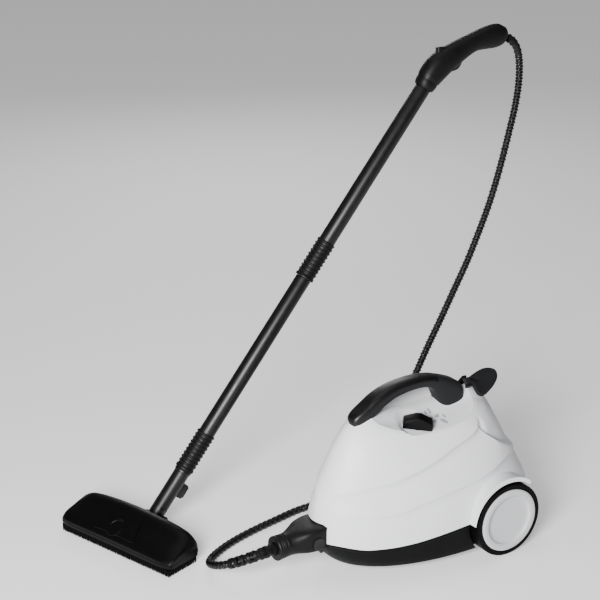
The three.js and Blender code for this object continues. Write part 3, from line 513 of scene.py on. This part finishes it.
# How square the shell's outline is, in front of its widest place and behind it.
FRONT_SQUARE, REAR_SQUARE = 2.1, 2.4
WALL = 3
BASE_Z = 18
AXLE = (0, 130, 75)
WELL_RADIUS, WELL_X, FENDER_X, FENDER_START = 80, 106, 146, 52
NOSE_Y, PLUG_Z = -216, 87
CASTER_Y = -122
DECK_FALL = 0.235


def seam_z(y):
    """Height of the seam between shell and tray."""
    return 66 + 9 * step(-y, 150, 215) + 16 * step(y, -125, 90)


def deck_z(x, y):
    """Height of the deck, which falls to the cap's side and rises to both ends of the handle."""
    spine = 9 * max(0, 1 - (x / 30) ** 2) ** 2
    rise = 12 * ((5 - y) / 95) ** 2 if y < 5 else 12 * ((y - 5) / 110) ** 2
    return 283 - DECK_FALL * x + spine + rise


def outline(table, t, angle, inset):
    """A point on the wall at a height fraction, moved in by an inset."""
    half, front, rear, widest = (smooth(table, column, t) for column in (1, 2, 3, 4))
    to_rear = math.sin(angle) > 0
    c, s = rounded(angle, REAR_SQUARE if to_rear else FRONT_SQUARE)
    return (half - inset) * c, widest + ((rear - widest if to_rear else front + widest) - inset) * s


def ridge_hollow(t, angle):
    """How far the wall steps in under the swirl ridges; both flanks have them."""
    degrees = math.degrees(math.asin(clamp(math.sin(angle), -1, 1)))
    depth = 0.0
    for table in (UPPER_RIDGE, LOWER_RIDGE):
        below = (smooth(table, 1, degrees) - t) / RIDGE_REACH
        if 0 < below < 1:
            depth += smooth(table, 2, degrees) * (1 - (1 - min(1, below / 0.3)) ** 2) * (1 - below) ** 1.5
    above = t - smooth(SHOULDER, 1, degrees)
    if degrees > 8 and above > 0:
        depth += smooth(SHOULDER, 2, degrees) * step(above, 0, 0.07) * (1 - step(t, 0.72, 0.98))
    return depth


def shell_blank(inset, sides, count):
    """The shell as a solid, or its hollow when inset."""
    rings = []
    for i in range(count + 1):
        t = i / count
        edge_round = 1.6 * step(t, 0.985, 1) if not inset else 0
        ring = []
        for angle in ring_angles(sides):
            x, y = outline(SHELL_STATIONS, t, angle, inset + edge_round + ridge_hollow(t, angle))
            edge = outline(SHELL_STATIONS, 1, angle, 0)
            low = seam_z(y) + 0.5 - (2 * WALL if inset else 0)
            ring.append((x, y, low + (deck_z(*edge) - inset - 0.5 * edge_round - low) * t))
        rings.append(ring)
    for scale in (0.985, 0.96, 0.9, 0.8, 0.68, 0.55, 0.42, 0.3, 0.2, 0.1):
        ring = []
        for angle in ring_angles(sides):
            x, y = outline(SHELL_STATIONS, 1, angle, inset)
            x, y = x * scale, 20 + (y - 20) * scale
            ring.append((x, y, deck_z(x, y) - inset))
        rings.append(ring)
    return loft(rings)


def base_blank(inset, sides, count):
    """The base tray as a solid, or its hollow when inset."""
    rings = []
    for i in range(count + 1):
        t = 1 - i / count
        relief = 0.0 if inset else 0.7 * (step(t, 0.1, 0.12) - step(t, 0.9, 0.92)) + 2.5 * step(t, 0.96, 1)
        ring = []
        for angle in ring_angles(sides):
            x, y = outline(BASE_STATIONS, t, angle, inset + relief)
            low, top = BASE_Z + inset, seam_z(y) - 0.5 + (2 * WALL if inset else 0)
            ring.append((x, y, top + (low - top) * t))
        rings.append(ring)
    return loft(rings)


def on_axle(side):
    """Frame whose +Z is the axle, outwards on one side."""
    return Matrix.Diagonal((side, 1, 1, 1)) @ at(*AXLE) @ turn("Y", 90)


def wall_x(y, z):
    """Half width of the shell's wall at a height."""
    t = clamp((z - seam_z(y)) / (deck_z(65, y) - seam_z(y)))
    half, front, rear, widest = (smooth(SHELL_STATIONS, column, t) for column in (1, 2, 3, 4))
    reach, power = (rear - widest, REAR_SQUARE) if y > widest else (front + widest, FRONT_SQUARE)
    return half * max(0.0, 1 - (abs(y - widest) / reach) ** power) ** (1 / power)


def fender(side):
    """The flared lip over a wheel: a crescent that grows out of the wall in a hollow curve."""
    rings = []
    for degrees in [FENDER_START + i * 1.5 for i in range(83)]:
        angle = math.radians(degrees)
        rise = 8 * (1 - step(degrees, 100, 176))
        lip = WELL_RADIUS + 0.6 + rise - 2 * (1 - step(degrees, FENDER_START, 60))
        foot = lip + 1 - 0.8 * rise
        root = wall_x(AXLE[1] + foot * math.cos(angle), AXLE[2] + foot * math.sin(angle))
        start, end = Vector((root - 1, foot)), Vector((FENDER_X - 2, lip))
        bend = Vector((root + 0.55 * (FENDER_X - root), foot - 0.6))
        places = (0, 0.15, 0.3, 0.45, 0.6, 0.75, 0.9, 1)
        curve = [start * (1 - u) ** 2 + bend * 2 * u * (1 - u) + end * u * u for u in places]
        edge = [(FENDER_X - 0.7, lip - 0.2), (FENDER_X, lip - 0.9), (FENDER_X, WELL_RADIUS - 2)]
        profile = [(90, foot), *curve, *edge, (90, WELL_RADIUS - 2)]
        rings.append([(x, AXLE[1] + r * math.cos(angle), AXLE[2] + r * math.sin(angle)) for x, r in profile])
    band = raw(loft(rings), Matrix.Diagonal((side, 1, 1, 1)))
    return cut(band, raw(block(400, 200, 100), at(0, 60, seam_z(50) + 0.5 - 50)))


CAP_FRAME = at(45, -20, deck_z(45, -20) + 0.5) @ turn("Y", math.degrees(math.atan(DECK_FALL)))
LAMPS = [(-10, 51), (1, 41)]
DISH = [
    (0, -3), (26, -3), (29.4, -2.7), (31, -1.8), (32.2, -0.6), (33.6, 0.4), (36, 1.6), (46, 9), (46, 20), (0, 20),
]


def wells(radius, low, high):
    """A disc over each wheel."""
    return [raw(rod(radius, low, high, 128), on_axle(side)) for side in (1, -1)]


def front_cuts():
    """What shell and tray both leave free: the nose's flat front, the plug's socket and the axle."""
    nose = raw(block(300, 100, 52), at(0, NOSE_Y - 50, PLUG_Z))
    socket = raw(block(68, 60, 46), at(0, NOSE_Y + 10, PLUG_Z))
    axle = raw(rod(8, -140, 140), at(*AXLE) @ turn("Y", 90))
    return nose, socket, axle


shell = raw(shell_blank(0, 288, 150))
backs = [common(back, raw(shell_blank(0, 96, 30))) for back in wells(WELL_RADIUS + WALL, WELL_X - WALL, 140)]
wings = [cut(fender(side), raw(shell_blank(WALL, 96, 30))) for side in (1, -1)]
boss = common(raw(rod(48, -6, 12), CAP_FRAME), raw(shell_blank(0, 96, 30)))
cut(shell, raw(shell_blank(WALL, 96, 40)))
unite(shell, boss, *backs, *wings)
cut(
    shell, *wells(WELL_RADIUS, WELL_X, 200), *front_cuts(), raw(base_blank(0, 96, 12)),
    raw(lathe(DISH, 96), CAP_FRAME), raw(rod(16, -30, 20), CAP_FRAME),
    *[raw(rod(2.9, -12, 12, 24), CAP_FRAME @ at(x, y)) for x, y in LAMPS],
)
finished(shell, "shell", "white", "machine", "upper_shell", sharp=28)

SCREWS = [(62, -120), (-62, -120), (66, 195), (-66, 195)]
SCREW_HOLE = [(0, -1), (4.8, -1), (4.8, 14.3), (2.3, 14.3), (2.3, 40), (0, 40)]
tray = raw(base_blank(0, 288, 60))
backs = [common(back, raw(base_blank(0, 96, 12))) for back in wells(WELL_RADIUS + WALL, WELL_X - WALL, 140)]
cup = common(raw(rod(45, 18, 45, 96), at(0, CASTER_Y)), raw(base_blank(0, 96, 12)))
bosses = [raw(rod(8, 19, 52), at(x, y)) for x, y in SCREWS]
ribs = [raw(block(200, 2, 12), at(0, y, 24)) for y in (-40, 20, 80)]
cut(tray, raw(base_blank(WALL, 96, 12)))
unite(tray, *backs, cup, *bosses, *ribs)
cut(
    tray, *wells(WELL_RADIUS, WELL_X, 200), *front_cuts(), raw(rod(42, 0, 42, 96), at(0, CASTER_Y)),
    raw(rod(5.3, 0, 60), at(0, CASTER_Y)), raw(rod(9.3, 0, 30), at(60, 225, 50) @ turn("X", -90)),
    *[raw(lathe(SCREW_HOLE, 32), at(x, y, 18)) for x, y in SCREWS],
    *[raw(block(60, 3, 4), at(0, y, 18)) for y in range(-60, 101, 10)],
)
finished(tray, "base", "charcoal", "machine", "base_tray", sharp=28)

# ---------------------------------------------------------------- printed marks on the deck


def on_deck(points):
    """A thin printed shape that follows the deck."""
    return loft([[(x, y, deck_z(x, y) + z) for x, y in points] for z in (-0.6, 0.15)])


def ellipse(x, y, width, depth, degrees=0):
    c, s = math.cos(math.radians(degrees)), math.sin(math.radians(degrees))
    ring = [(width / 2 * math.cos(a), depth / 2 * math.sin(a)) for a in ring_angles(32)]
    return [(x + u * c - v * s, y + u * s + v * c) for u, v in ring]


# Place, width, depth and slant.
MARKS = [
    (20, 18, 9, 5, 0), (20, 27, 15, 5, 0), (33, 22, 7, 7, 0), (45, 17, 12, 5, 30), (52, 38, 18, 9, 20),
    (33, 37, 13, 4.5, -20), (40, 47, 11, 4.5, 0),
]
piece("deck_marks", "mark", "machine", joined(*[on_deck(ellipse(*mark)) for mark in MARKS]))

# ---------------------------------------------------------------- carrying handle

# From the front foot to the rear foot: outer y and z, inner y and z, half width.
HANDLE_STATIONS = [
    (-142, 290, -130, 282, 9), (-143, 302, -122, 287, 15), (-133, 314, -108, 292, 18), (-113, 327, -91, 299, 19),
    (-88, 340, -70, 314, 19), (-58, 350, -46, 324, 18), (-22, 354, -18, 329, 18), (10, 354, 12, 330, 18),
    (38, 350, 31, 326, 18), (58, 344, 42, 318, 19), (79, 336, 49, 306, 21), (101, 325, 54, 293, 23),
    (113, 310, 57, 283, 24), (116, 292, 58, 274, 24),
]
COVER_START, COVER_END = 0.06, 0.672


def handle(is_cover):
    """The upper cover or the lower moulding. The cover ends short of both feet."""
    stations = refined(HANDLE_STATIONS, 105)
    rings = []
    for i, (outer_y, outer_z, inner_y, inner_z, half) in enumerate(stations):
        u = i / (len(stations) - 1)
        split = 0.25 + 0.72 * (1 - step(u, 0.04, 0.1)) + 0.72 * step(u, 0.655, 0.675)
        if is_cover and not COVER_START <= u <= COVER_END:
            continue
        middle = Vector((0, (outer_y + inner_y) / 2, (outer_z + inner_z) / 2))
        reach = Vector((0, outer_y - inner_y, outer_z - inner_z)) / 2
        ring = []
        for angle in reversed(ring_angles(56)):
            c, s = rounded(angle, 3)
            dimple = 0.18 * math.exp(-(((u - 0.2) / 0.07) ** 2)) * max(0, 1 - c * c) if s > 0 else 0
            depth = max(s - dimple, min(split, 0.97) + 0.03) if is_cover else min(s, split)
            width = half if is_cover else half - 0.9
            ring.append(middle + Vector((width * c, 0, 0)) + reach * depth)
        rings.append(ring)
    return raw(loft(rings))


def clear_of_deck(thing):
    return cut(thing, raw(shell_blank(0, 96, 30)))


finished(eased(handle(True), 0.8), "handle_top", "black", "machine", "handle_cover", sharp=40)
finished(clear_of_deck(handle(False)), "handle_shell", "soft_grey", "machine", "handle_lower", sharp=40)

# ---------------------------------------------------------------- cord hook

HOOK_FRAME = at(2, 127, 312) @ turn("Y", 38) @ turn("X", -3)
HOOK_OUTLINE = [
    (6.4, 6), (6.6, 11.5), (14, 12.4), (23, 12), (31, 13.2), (35.5, 18.5), (35.5, 28), (31, 40), (22, 57), (9, 73),
    (-4, 79), (-12, 75), (-17, 62), (-17, 47), (-13, 29), (-7.2, 10), (-7, 6),
]


def closed_curve(points, count):
    """A smooth closed curve through the points."""
    wrapped = [points[i % len(points)] for i in range(-3, len(points) + 4)]
    per = count // len(points)
    dense = refined(wrapped, per * (len(wrapped) - 1) + 1)
    return [tuple(p) for p in dense[3 * per : 3 * per + per * len(points)]]


def shrunk(points, amount):
    """A closed outline moved in by an amount."""
    result = []
    for i, (x, y) in enumerate(points):
        ahead, behind = points[(i + 1) % len(points)], points[i - 1]
        tangent = Vector((ahead[0] - behind[0], ahead[1] - behind[1])).normalized()
        result.append((x - tangent.y * amount, y + tangent.x * amount))
    return result


hook_edge = closed_curve(HOOK_OUTLINE, 119)
paddle = unite(
    eased(raw(slab(hook_edge, -3.6, 3.6), HOOK_FRAME), 1.2, 3),
    raw(rod(4.2, -7, 7), HOOK_FRAME @ turn("Y", 90)), raw(block(14, 8, 6), HOOK_FRAME @ at(0, 5)),
)
for low, high in ((2.2, 10), (-10, -2.2)):
    cut(paddle, eased(raw(slab(shrunk(hook_edge, 4.5), low, high), HOOK_FRAME), 0.8))
cut(paddle, raw(rod(2.3, -20, 20), HOOK_FRAME @ turn("Y", 90)))
finished(paddle, "hook_paddle", "soft_grey", "cord_hook", "cord_hook", sharp=40)

# ---------------------------------------------------------------- filler cap

# The grip's gable, then its round neck and threaded stem.
GABLE = [(-28, -2.4), (28, -2.4), (28, 13), (5, 23), (-5, 23), (-28, 13)]
cap = eased(raw(slab(GABLE, -11, 11), CAP_FRAME @ turn("Z", -33) @ YZ_PRISM), 1.4, 3)
unite(cap, raw(rod(11, -24, 2, 48), CAP_FRAME))
finished(cap, "filler_cap_grip", "glossy", "filler_cap", "filler_cap", sharp=36)
WASHER = [(11.1, -3), (15.6, -3), (15.6, -2.5), (11.1, -2.5)]
piece("cap_washer", "white", "filler_cap", lathe(WASHER, 64, close=True), place=CAP_FRAME)

# ---------------------------------------------------------------- wheels

# (radius, distance out from the machine's middle)
TREAD = [
    (64, 116), (67.5, 113.8), (70.5, 113.2), (73, 114.6), (74.6, 117), (75, 120.5), (75, 124), (74, 124.4), (74, 125.6),
    (75, 126), (75, 134), (74, 134.4), (74, 135.6), (75, 136), (75, 144.6), (74.6, 146), (73.4, 147), (67.5, 147.4),
    (65.6, 146.6), (64, 145.4),
]
HUB = [
    (5.3, 115), (20, 115), (22, 125), (58, 125), (58, 117), (63.8, 117), (63.8, 145), (58, 145), (56, 133), (12, 133),
    (12, 138.5), (5.3, 138.5),
]
HUB_CAP = [
    (0, 142.6), (46, 142.6), (50, 145.6), (63.6, 145.6), (64, 147), (63.6, 148.4), (62, 149.6), (59.4, 150),
    (54, 149.9), (51.4, 149.4), (50, 148.4), (49.2, 146.8), (48.4, 145.2), (46.6, 144.4), (38, 144), (0, 143.8),
]
for hand, side in (("right", 1), ("left", -1)):
    body, place = f"wheel_{hand}", on_axle(side)
    piece(f"tyre_tread_{hand}", "tyre", body, lathe(TREAD, 144, close=True), f"tyre_{hand}", place=place)
    spokes = [moved(block(34, 3, 7), turn("Z", 60 * i) @ at(39, 0, 121.6)) for i in range(6)]
    hub = joined(lathe(HUB, 96, close=True), *spokes)
    piece(f"hub_{hand}", "charcoal", body, hub, f"wheel_hub_{hand}", place=place)
    # The hub cap's colour holds painted shade as well as its light grey.
    piece(f"hub_disc_{hand}", "cap_grey_and_shade", body, lathe(HUB_CAP, 144), f"hub_cap_{hand}", place=place)

# ---------------------------------------------------------------- hose plug

PLUG_END = NOSE_Y - 0.6
# From the nose outwards: distance, half width, half height, middle height, squareness.
PLUG_STATIONS = [
    (0, 35, 24, 87, 8), (-16, 35, 24, 86.5, 7), (-34, 33, 23.5, 85, 5), (-50, 28, 22.5, 83, 3), (-62, 24, 22, 81, 2.3),
    (-72, 23, 22.6, 79.5, 2), (-94, 24, 24, 78, 2),
]


def plug_form():
    """The plug's body, from a square end at the nose to a grooved round neck."""
    rings = []
    for distance, half, tall, z, square in refined(PLUG_STATIONS, 73):
        groove = 0.9 if -89 < distance < -72 and (-distance - 72) % 4.4 > 2.9 else 0.0
        end = 1.2 * step(distance, -92.6, -94) + 1.0 * step(distance, -1.2, 0)
        grow = -groove - end
        units = [rounded(a, square) for a in ring_angles(96)]
        rings.append([(u * (half + grow), PLUG_END + distance, z + v * (tall + grow)) for u, v in units])
    return loft(rings)


ALONG_Y = turn("X", -90)
plug = unite(raw(plug_form()), raw(block(50, 16, 30), at(0, PLUG_END + 7, PLUG_Z)))
cut(
    plug, raw(rod(12.6, -20, 10, 64), at(0, PLUG_END - 94, 78) @ ALONG_Y),
    raw(rod(4.3, -20, 10), at(0, PLUG_END + 15, PLUG_Z) @ ALONG_Y),
    *[raw(rod(13.4, 21, 40, 64), at(0, PLUG_END - 17, 81) @ turn("Y", 90 * side)) for side in (1, -1)],
)
finished(plug, "hose_plug", "grained", "hose_set", "plug_body", sharp=30)
BUTTON = [(0, 24.5), (12.6, 24.5), (12.6, 35.6), (12, 36.6), (10.6, 37), (9, 36.6), (5, 36.2), (0, 36.1)]
CLAW = [(0, 0), (9, 0), (10, -4), (7, -8), (2.5, -8.4), (0, -5)]
for hand, side in (("right", 1), ("left", -1)):
    piece(
        f"plug_key_{hand}", "black", f"plug_button_{hand}", lathe(BUTTON, 64), f"plug_button_{hand}",
        place=at(0, PLUG_END - 17, 81) @ turn("Y", 90 * side),
    )
    piece(
        f"plug_claw_{hand}", "black", "hose_set", slab(CLAW, -5, 5), ease=1.0,
        place=at(side * 25, PLUG_END - 12, 64.5) @ YZ_PRISM,
    )

# ---------------------------------------------------------------- wand: neck, tubes and sleeves

WAND = at(-297, -399, 45) @ turn("Z", 175) @ turn("X", 36.9)
NECK, SLEEVE, TUBE, TUBE_RADIUS = 101, 85, 361, 16.5
SOCKET_RADIUS = TUBE_RADIUS + 0.4
GUN_START = NECK + 2 * (SLEEVE + TUBE)
KEY_ANGLE = 186  # the moulded key line faces the machine's near side


def key_line(low, high):
    """A moulded line along the tubes, which shows that their locks are in register."""
    return raw(block(2.4, 1.8, high - low), WAND @ turn("Z", KEY_ANGLE + 90) @ at(0, -15.7, (low + high) / 2))


def sleeve(low):
    """A grip sleeve with a row of rounded ribs."""
    profile = [(SOCKET_RADIUS, low + 0.3), (19.0, low + 0.3), (19.4, low + 1), (19.4, low + 5), (18.6, low + 6)]
    rib = [(17.7, 0), (17.7, 3.6), (18.9, 4.4), (19.5, 5.4), (19.5, 6.8), (18.9, 7.8)]
    z = low + 7.5
    while z < low + SLEEVE - 8:
        profile += [(radius, z + rise) for radius, rise in rib]
        z += 8.5
    profile += [(18.2, low + SLEEVE - 2), (17.6, low + SLEEVE - 0.3), (SOCKET_RADIUS, low + SLEEVE - 0.3)]
    return lathe(profile, 72, close=True)


def tube(low):
    """An extension tube, which tapers a little above its sleeve."""
    high = low + SLEEVE + TUBE - 0.3
    outside = [(TUBE_RADIUS, low + 12), (TUBE_RADIUS, low + 120), (15.9, high - 1), (15.5, high)]
    return lathe([(11.5, low + 12), *outside, (14, high), (11.5, low + 60)], 72, close=True)


for name, low, node in (("lower", NECK, "lower_tube"), ("upper", NECK + SLEEVE + TUBE, "upper_tube")):
    piece(f"{name}_sleeve_ribs", "grained", "hose_set", sleeve(low), f"{node}_sleeve", place=WAND, sharp=50)
    pipe = unite(raw(tube(low), WAND), key_line(low + SLEEVE + TUBE - 30, low + SLEEVE + TUBE - 3))
    finished(pipe, f"{name}_pipe", "black", "hose_set", node)

SWIVEL = WAND @ at(0, 0, 4) @ turn("Z", 18.6)
NECK_PIPE = [(10, 14), (15, 14), (16, 15.2), (16, 94), (17.4, 95.5), (17.4, 99.5), (16.6, 100.7), (10, 100.7)]
neck = raw(lathe(NECK_PIPE, 72, close=True), WAND)
unite(
    neck, raw(rod(12, 14, 21), WAND), raw(rod(8, -6, 6), SWIVEL @ ALONG_Y),
    raw(block(12, 12, 16), SWIVEL @ at(0, 0, 8)), eased(raw(block(14, 20, 30), WAND @ at(0, -18, 60)), 1.5),
    key_line(72, 92),
)
for side in (1, -1):
    cheek = cut(raw(rod(16, -6, 15, 72), WAND), raw(block(40, 22.6, 60), SWIVEL))
    unite(neck, common(cheek, raw(block(40, 30, 60), SWIVEL @ at(0, side * 26.2))))
BALL_RADIUS = 15
ball = [(BALL_RADIUS * math.cos(math.radians(a)), BALL_RADIUS * math.sin(math.radians(a))) for a in range(-90, 91, 6)]
unite(neck, raw(lathe([(max(r, 0), z) for r, z in ball], 72), SWIVEL))
cut(neck, raw(rod(3.3, -20, 20), SWIVEL @ ALONG_Y), raw(block(10.6, 18, 24.6), WAND @ at(0, -25, 60)))
finished(neck, "neck_pipe", "black", "hose_set", "head_neck", sharp=36)
latch = eased(raw(block(10, 12, 24), WAND @ at(0, -26, 60)), 1.4, 3)
for z in (54, 58, 62, 66):
    cut(latch, raw(block(12, 1.2, 1.4), WAND @ at(0, -32, z)))
finished(latch, "latch_key", "black", "neck_latch", "neck_latch")

# ---------------------------------------------------------------- gun

# From the mouth to the hose: up the wand, height above its line, half depth, half width.
GUN_STATIONS = [
    (-6, 0, 19.8, 19.8), (24, 0, 25, 22), (50, -5, 26.5, 22), (74, -15, 24.5, 21), (96, -26, 21.5, 19),
    (123, -42, 19, 18), (144, -61, 22, 18.5), (158, -76, 23.5, 18.5), (170, -88, 21, 17), (179, -96, 12, 11),
]
TRIGGER_PIVOT = (0, -27, GUN_START + 56)
TRIGGER_OUTLINE = [(-30, 50), (-22, 58), (-27, 82), (-37, 86), (-43, 79), (-44, 66), (-39, 57)]
TRIGGER_PIN = WAND @ at(*TRIGGER_PIVOT) @ turn("Y", 90)
LOCK = WAND @ at(0, 8, GUN_START + 71) @ turn("X", -35)


def gun(shrink, trimmed=0):
    """The gun as a solid, or its hollow when shrunk and trimmed at both ends."""
    stations = refined(GUN_STATIONS, 91)
    middles = [Vector((0, w, GUN_START + s)) for s, w, _, _ in stations]
    rings = []
    for i, (s, w, depth, width) in enumerate(stations):
        along = (middles[min(i + 1, 90)] - middles[max(i - 1, 0)]).normalized()
        across = Vector((0, along.z, -along.y))
        lip = 0.9 if 4 < i < 7 else 0
        mouth = 1.2 * (1 - step(i, 0, 1.5))
        inset = shrink + lip + mouth
        ring = []
        for a in ring_angles(72):
            c, sn = rounded(a, 2.2)
            ring.append(middles[i] + Vector(((width - inset) * c, 0, 0)) + across * (depth - inset) * sn)
        rings.append(ring)
    return loft(rings[trimmed : len(rings) - trimmed])


gun_body = raw(gun(0), WAND)
cut(
    gun_body, raw(gun(2.5, 10), WAND), raw(rod(SOCKET_RADIUS, GUN_START - 20, GUN_START + 20, 72), WAND),
    raw(sweep(gun_end, lambda s, a: 9.8, 40)), raw(block(13, 44, 44), WAND @ at(0, -40, GUN_START + 68)),
    eased(raw(block(13, 19, 30), LOCK @ at(0, 2, -3.5)), 1.5), raw(rod(2.3, -30, 30), TRIGGER_PIN),
)
for name, side in (("left", 1), ("right", -1)):
    half = gun_body.copy()
    half.data = gun_body.data.copy()
    bpy.context.scene.collection.objects.link(half)
    common(half, raw(block(100, 260, 320), WAND @ at(side * 50.15, -40, GUN_START + 80)))
    finished(half, f"gun_half_{name}", "grained", "hose_set", f"gun_shell_{name}", sharp=36)
bpy.data.objects.remove(gun_body)

lever_edge = closed_curve([(w, GUN_START + s) for w, s in TRIGGER_OUTLINE], 84)
lever = eased(raw(slab(lever_edge, -6, 6), WAND @ YZ_PRISM), 1.4, 3)
unite(lever, raw(rod(2, -13, 13), TRIGGER_PIN))
finished(lever, "trigger_lever", "black", "gun_trigger", "gun_trigger", sharp=40)
lock = eased(raw(block(12, 18, 20), LOCK @ at(0, 2, 0)), 1.6, 3)
for y in (-3, 1, 5):
    cut(lock, raw(block(14, 1.2, 1.2), LOCK @ at(0, y, 10)))
finished(lock, "lock_slider", "black", "gun_lock", "gun_lock")

# ---------------------------------------------------------------- floor head

HEAD = at(-280, -473, 0) @ turn("Z", 17.8)
HEAD_LENGTH, HEAD_DEPTH = 302, 84
# Along the hood: place from end to end, ridge height, front and rear inset, lip height.
HOOD_STATIONS = [
    (-1, 43, 10, 6, 27), (-0.96, 53, 4, 2, 28), (-0.8, 64, 0, 0, 30), (-0.3, 72, 0, 0, 31), (0.3, 72, 0, 0, 31),
    (0.8, 65, 0, 0, 30), (0.96, 54, 4, 2, 28), (1, 44, 10, 6, 27),
]


def hood_section(at_x, inset):
    """The hood's outline across its depth, as (y, z), from the rear edge over the ridge to the front edge."""
    ridge, front, rear, lip = (smooth(HOOD_STATIONS, column, at_x) for column in (1, 2, 3, 4))
    half, low = HEAD_DEPTH / 2 - inset, 18 - (6 if inset else 0)
    back_y, front_y = half - rear, -half + front
    top = [
        (back_y, low), (back_y + 1.5, low + 10), (back_y + 2.6, ridge - 18 - inset),
        (back_y - 1.5, ridge - 7 - inset), (back_y - 10, ridge - 0.8 - inset), (back_y - 24, ridge - 3 - inset),
        (0, (ridge + lip) / 2 + 5 - inset), (front_y + 12, lip + 8 - inset), (front_y + 2, lip + 1 - inset),
        (front_y, lip - 3 - inset), (front_y, low),
    ]
    return refined(top, 61)


def hood_height(x, y):
    top = hood_section(x / (HEAD_LENGTH / 2), 0)[12:]
    return min(top, key=lambda p: abs(p[0] - y))[1]


def hood(inset, count):
    """The hood as a solid, or its hollow when inset."""
    rings = []
    for i in range(count + 1):
        at_x = math.sin(math.pi * (i / count - 0.5))
        ring = []
        for y, z in hood_section(at_x, inset):
            skirt = 0.8 if 24 < z < 25.4 and not inset else 0
            scale = 1 - skirt / 42
            ring.append((at_x * (HEAD_LENGTH / 2 - inset - skirt), y * scale, z))
        rings.append(ring)
    return loft(rings)


# The pitch pin lies square to the swivel, below it along the leaning yoke.
YOKE_LEAN, YOKE_REACH = 34.7, 15.6
lean_sine, lean_cosine = math.sin(math.radians(YOKE_LEAN)), math.cos(math.radians(YOKE_LEAN))
swivel_place = (HEAD.inverted() @ WAND @ at(0, 0, 4)).translation
PITCH = HEAD @ (at(*swivel_place) @ at(0, -YOKE_REACH * lean_sine, -YOKE_REACH * lean_cosine))
hood_shell = cut(raw(hood(0, 120), HEAD), raw(hood(WALL, 60), HEAD))
PANEL_CORNERS = [Vector(p) for p in ((-62, -33), (44, -33), (30, 14), (-50, 14))]
panel_sides = zip(PANEL_CORNERS, PANEL_CORNERS[1:] + PANEL_CORNERS[:1])
panel_edge = closed_curve([p for a, b in panel_sides for p in (a, a.lerp(b, 0.33), a.lerp(b, 0.67))], 96)
raised = raw(moved(hood(0, 120), at(0, -0.6, 1.3)), HEAD)
panel = common(raw(slab(panel_edge, 0, 90), HEAD), raised)
common(panel, raw(block(200, 60, 60), HEAD @ at(0, -10, 60)))
BOSS = [(0, -8), (19, -8), (19, 1.6), (18, 2.6), (16, 2.6), (14.6, 1.2), (8, 0.6), (0, 0.6)]
boss_place = HEAD @ at(-12, -20, hood_height(-12, -20)) @ turn("X", 33) @ Matrix.Diagonal((0.92, 1.05, 1, 1))
boss = cut(raw(lathe(BOSS, 72), boss_place), raw(hood(WALL, 60), HEAD))
LUGS = (21.5, -21.5)
unite(
    hood_shell, panel, boss, *[raw(rod(10, x - 4, x + 4), PITCH @ turn("Y", 90)) for x in LUGS],
    *[raw(block(8, 28, 16), PITCH @ at(x, -14, -2)) for x in LUGS],
)
cut(hood_shell, raw(rod(4.3, -40, 40), PITCH @ turn("Y", 90)))
finished(hood_shell, "head_cover", "glossy", "floor_head", "head_hood", sharp=34)

BRUSH_X, BRUSH_Y = 145.5, 39
tufts = []
for inset, pitch in ((1.8, 4.7), (6.5, 5.1)):
    x, y = BRUSH_X - inset, BRUSH_Y - inset
    across, deep = round(2 * x / pitch), round(2 * y / pitch)
    spots = [(-x + 2 * x * i / across, s * y) for i in range(across + 1) for s in (1, -1)]
    spots += [(s * x, -y + 2 * y * i / deep) for i in range(1, deep) for s in (1, -1)]
    for sx, sy in spots:
        lean = Matrix.Translation((random.uniform(-0.3, 0.3), random.uniform(-0.3, 0.3), 0))
        size = random.uniform(0.92, 1.06)
        tuft = lathe([(1.3 * size, 0.02 + random.uniform(0, 0.6)), (1.9 * size, 6), (2.2 * size, 15.6)], 8)
        inside = at(clamp(sx, 1.9 - BRUSH_X, BRUSH_X - 1.9), clamp(sy, 1.9 - BRUSH_Y, BRUSH_Y - 1.9))
        tufts.append(moved(tuft, inside @ lean))
piece("bristle_tufts", "bristle", "floor_head", joined(*tufts), "bristles", place=HEAD, sharp=60)

YOKE_FRAME = PITCH @ turn("X", -YOKE_LEAN)
YOKE_TOP = YOKE_FRAME @ at(0, 0, YOKE_REACH) @ ALONG_Y
saddle = raw(rod(9.4, -17, 17, 64), YOKE_FRAME @ turn("Y", 90))
unite(saddle, eased(raw(block(16, 21.2, 13.4), YOKE_FRAME @ at(0, 0, -0.3)), 1))
for y in (8.6, -8.6):
    cheek = raw(block(16, 4, YOKE_REACH), YOKE_FRAME @ at(0, y, YOKE_REACH / 2))
    unite(saddle, cheek, raw(rod(8, y - 2, y + 2, 64), YOKE_TOP))
unite(saddle, raw(rod(3, -9, 9), YOKE_TOP))
cut(saddle, raw(rod(4.3, -40, 40), YOKE_FRAME @ turn("Y", 90)))
finished(saddle, "yoke_saddle", "black", "head_yoke", "head_yoke", sharp=36)

# ---------------------------------------------------------------- carried-over parts

CARRIED = {
    "steel": [
        "base_screw_1", "base_screw_2", "base_screw_3", "base_screw_4", "filler_neck", "steam_pipe", "rear_axle",
        "boiler_stand", "heating_element", "caster_pin", "pitch_pin",
    ],
    "aluminium": ["boiler_upper", "boiler_lower"],
    "insulation": ["boiler_jacket"],
    "brass": ["solenoid_valve", "plug_nozzle"],
    "grained": [
        "pressure_switch", "steam_socket", "mains_gland", "axle_bush_right", "axle_bush_left", "cap_seal",
        "hook_bracket", "caster_wheel", "head_plate",
    ],
    "charcoal": ["caster_fork"],
    "lens": ["power_lamp", "ready_lamp"],
}


def dressed(thing, name):
    thing.data.materials.clear()
    thing.data.materials.append(LOOKS[name])


for name, nodes in CARRIED.items():
    for node in nodes:
        dressed(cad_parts[node], name)
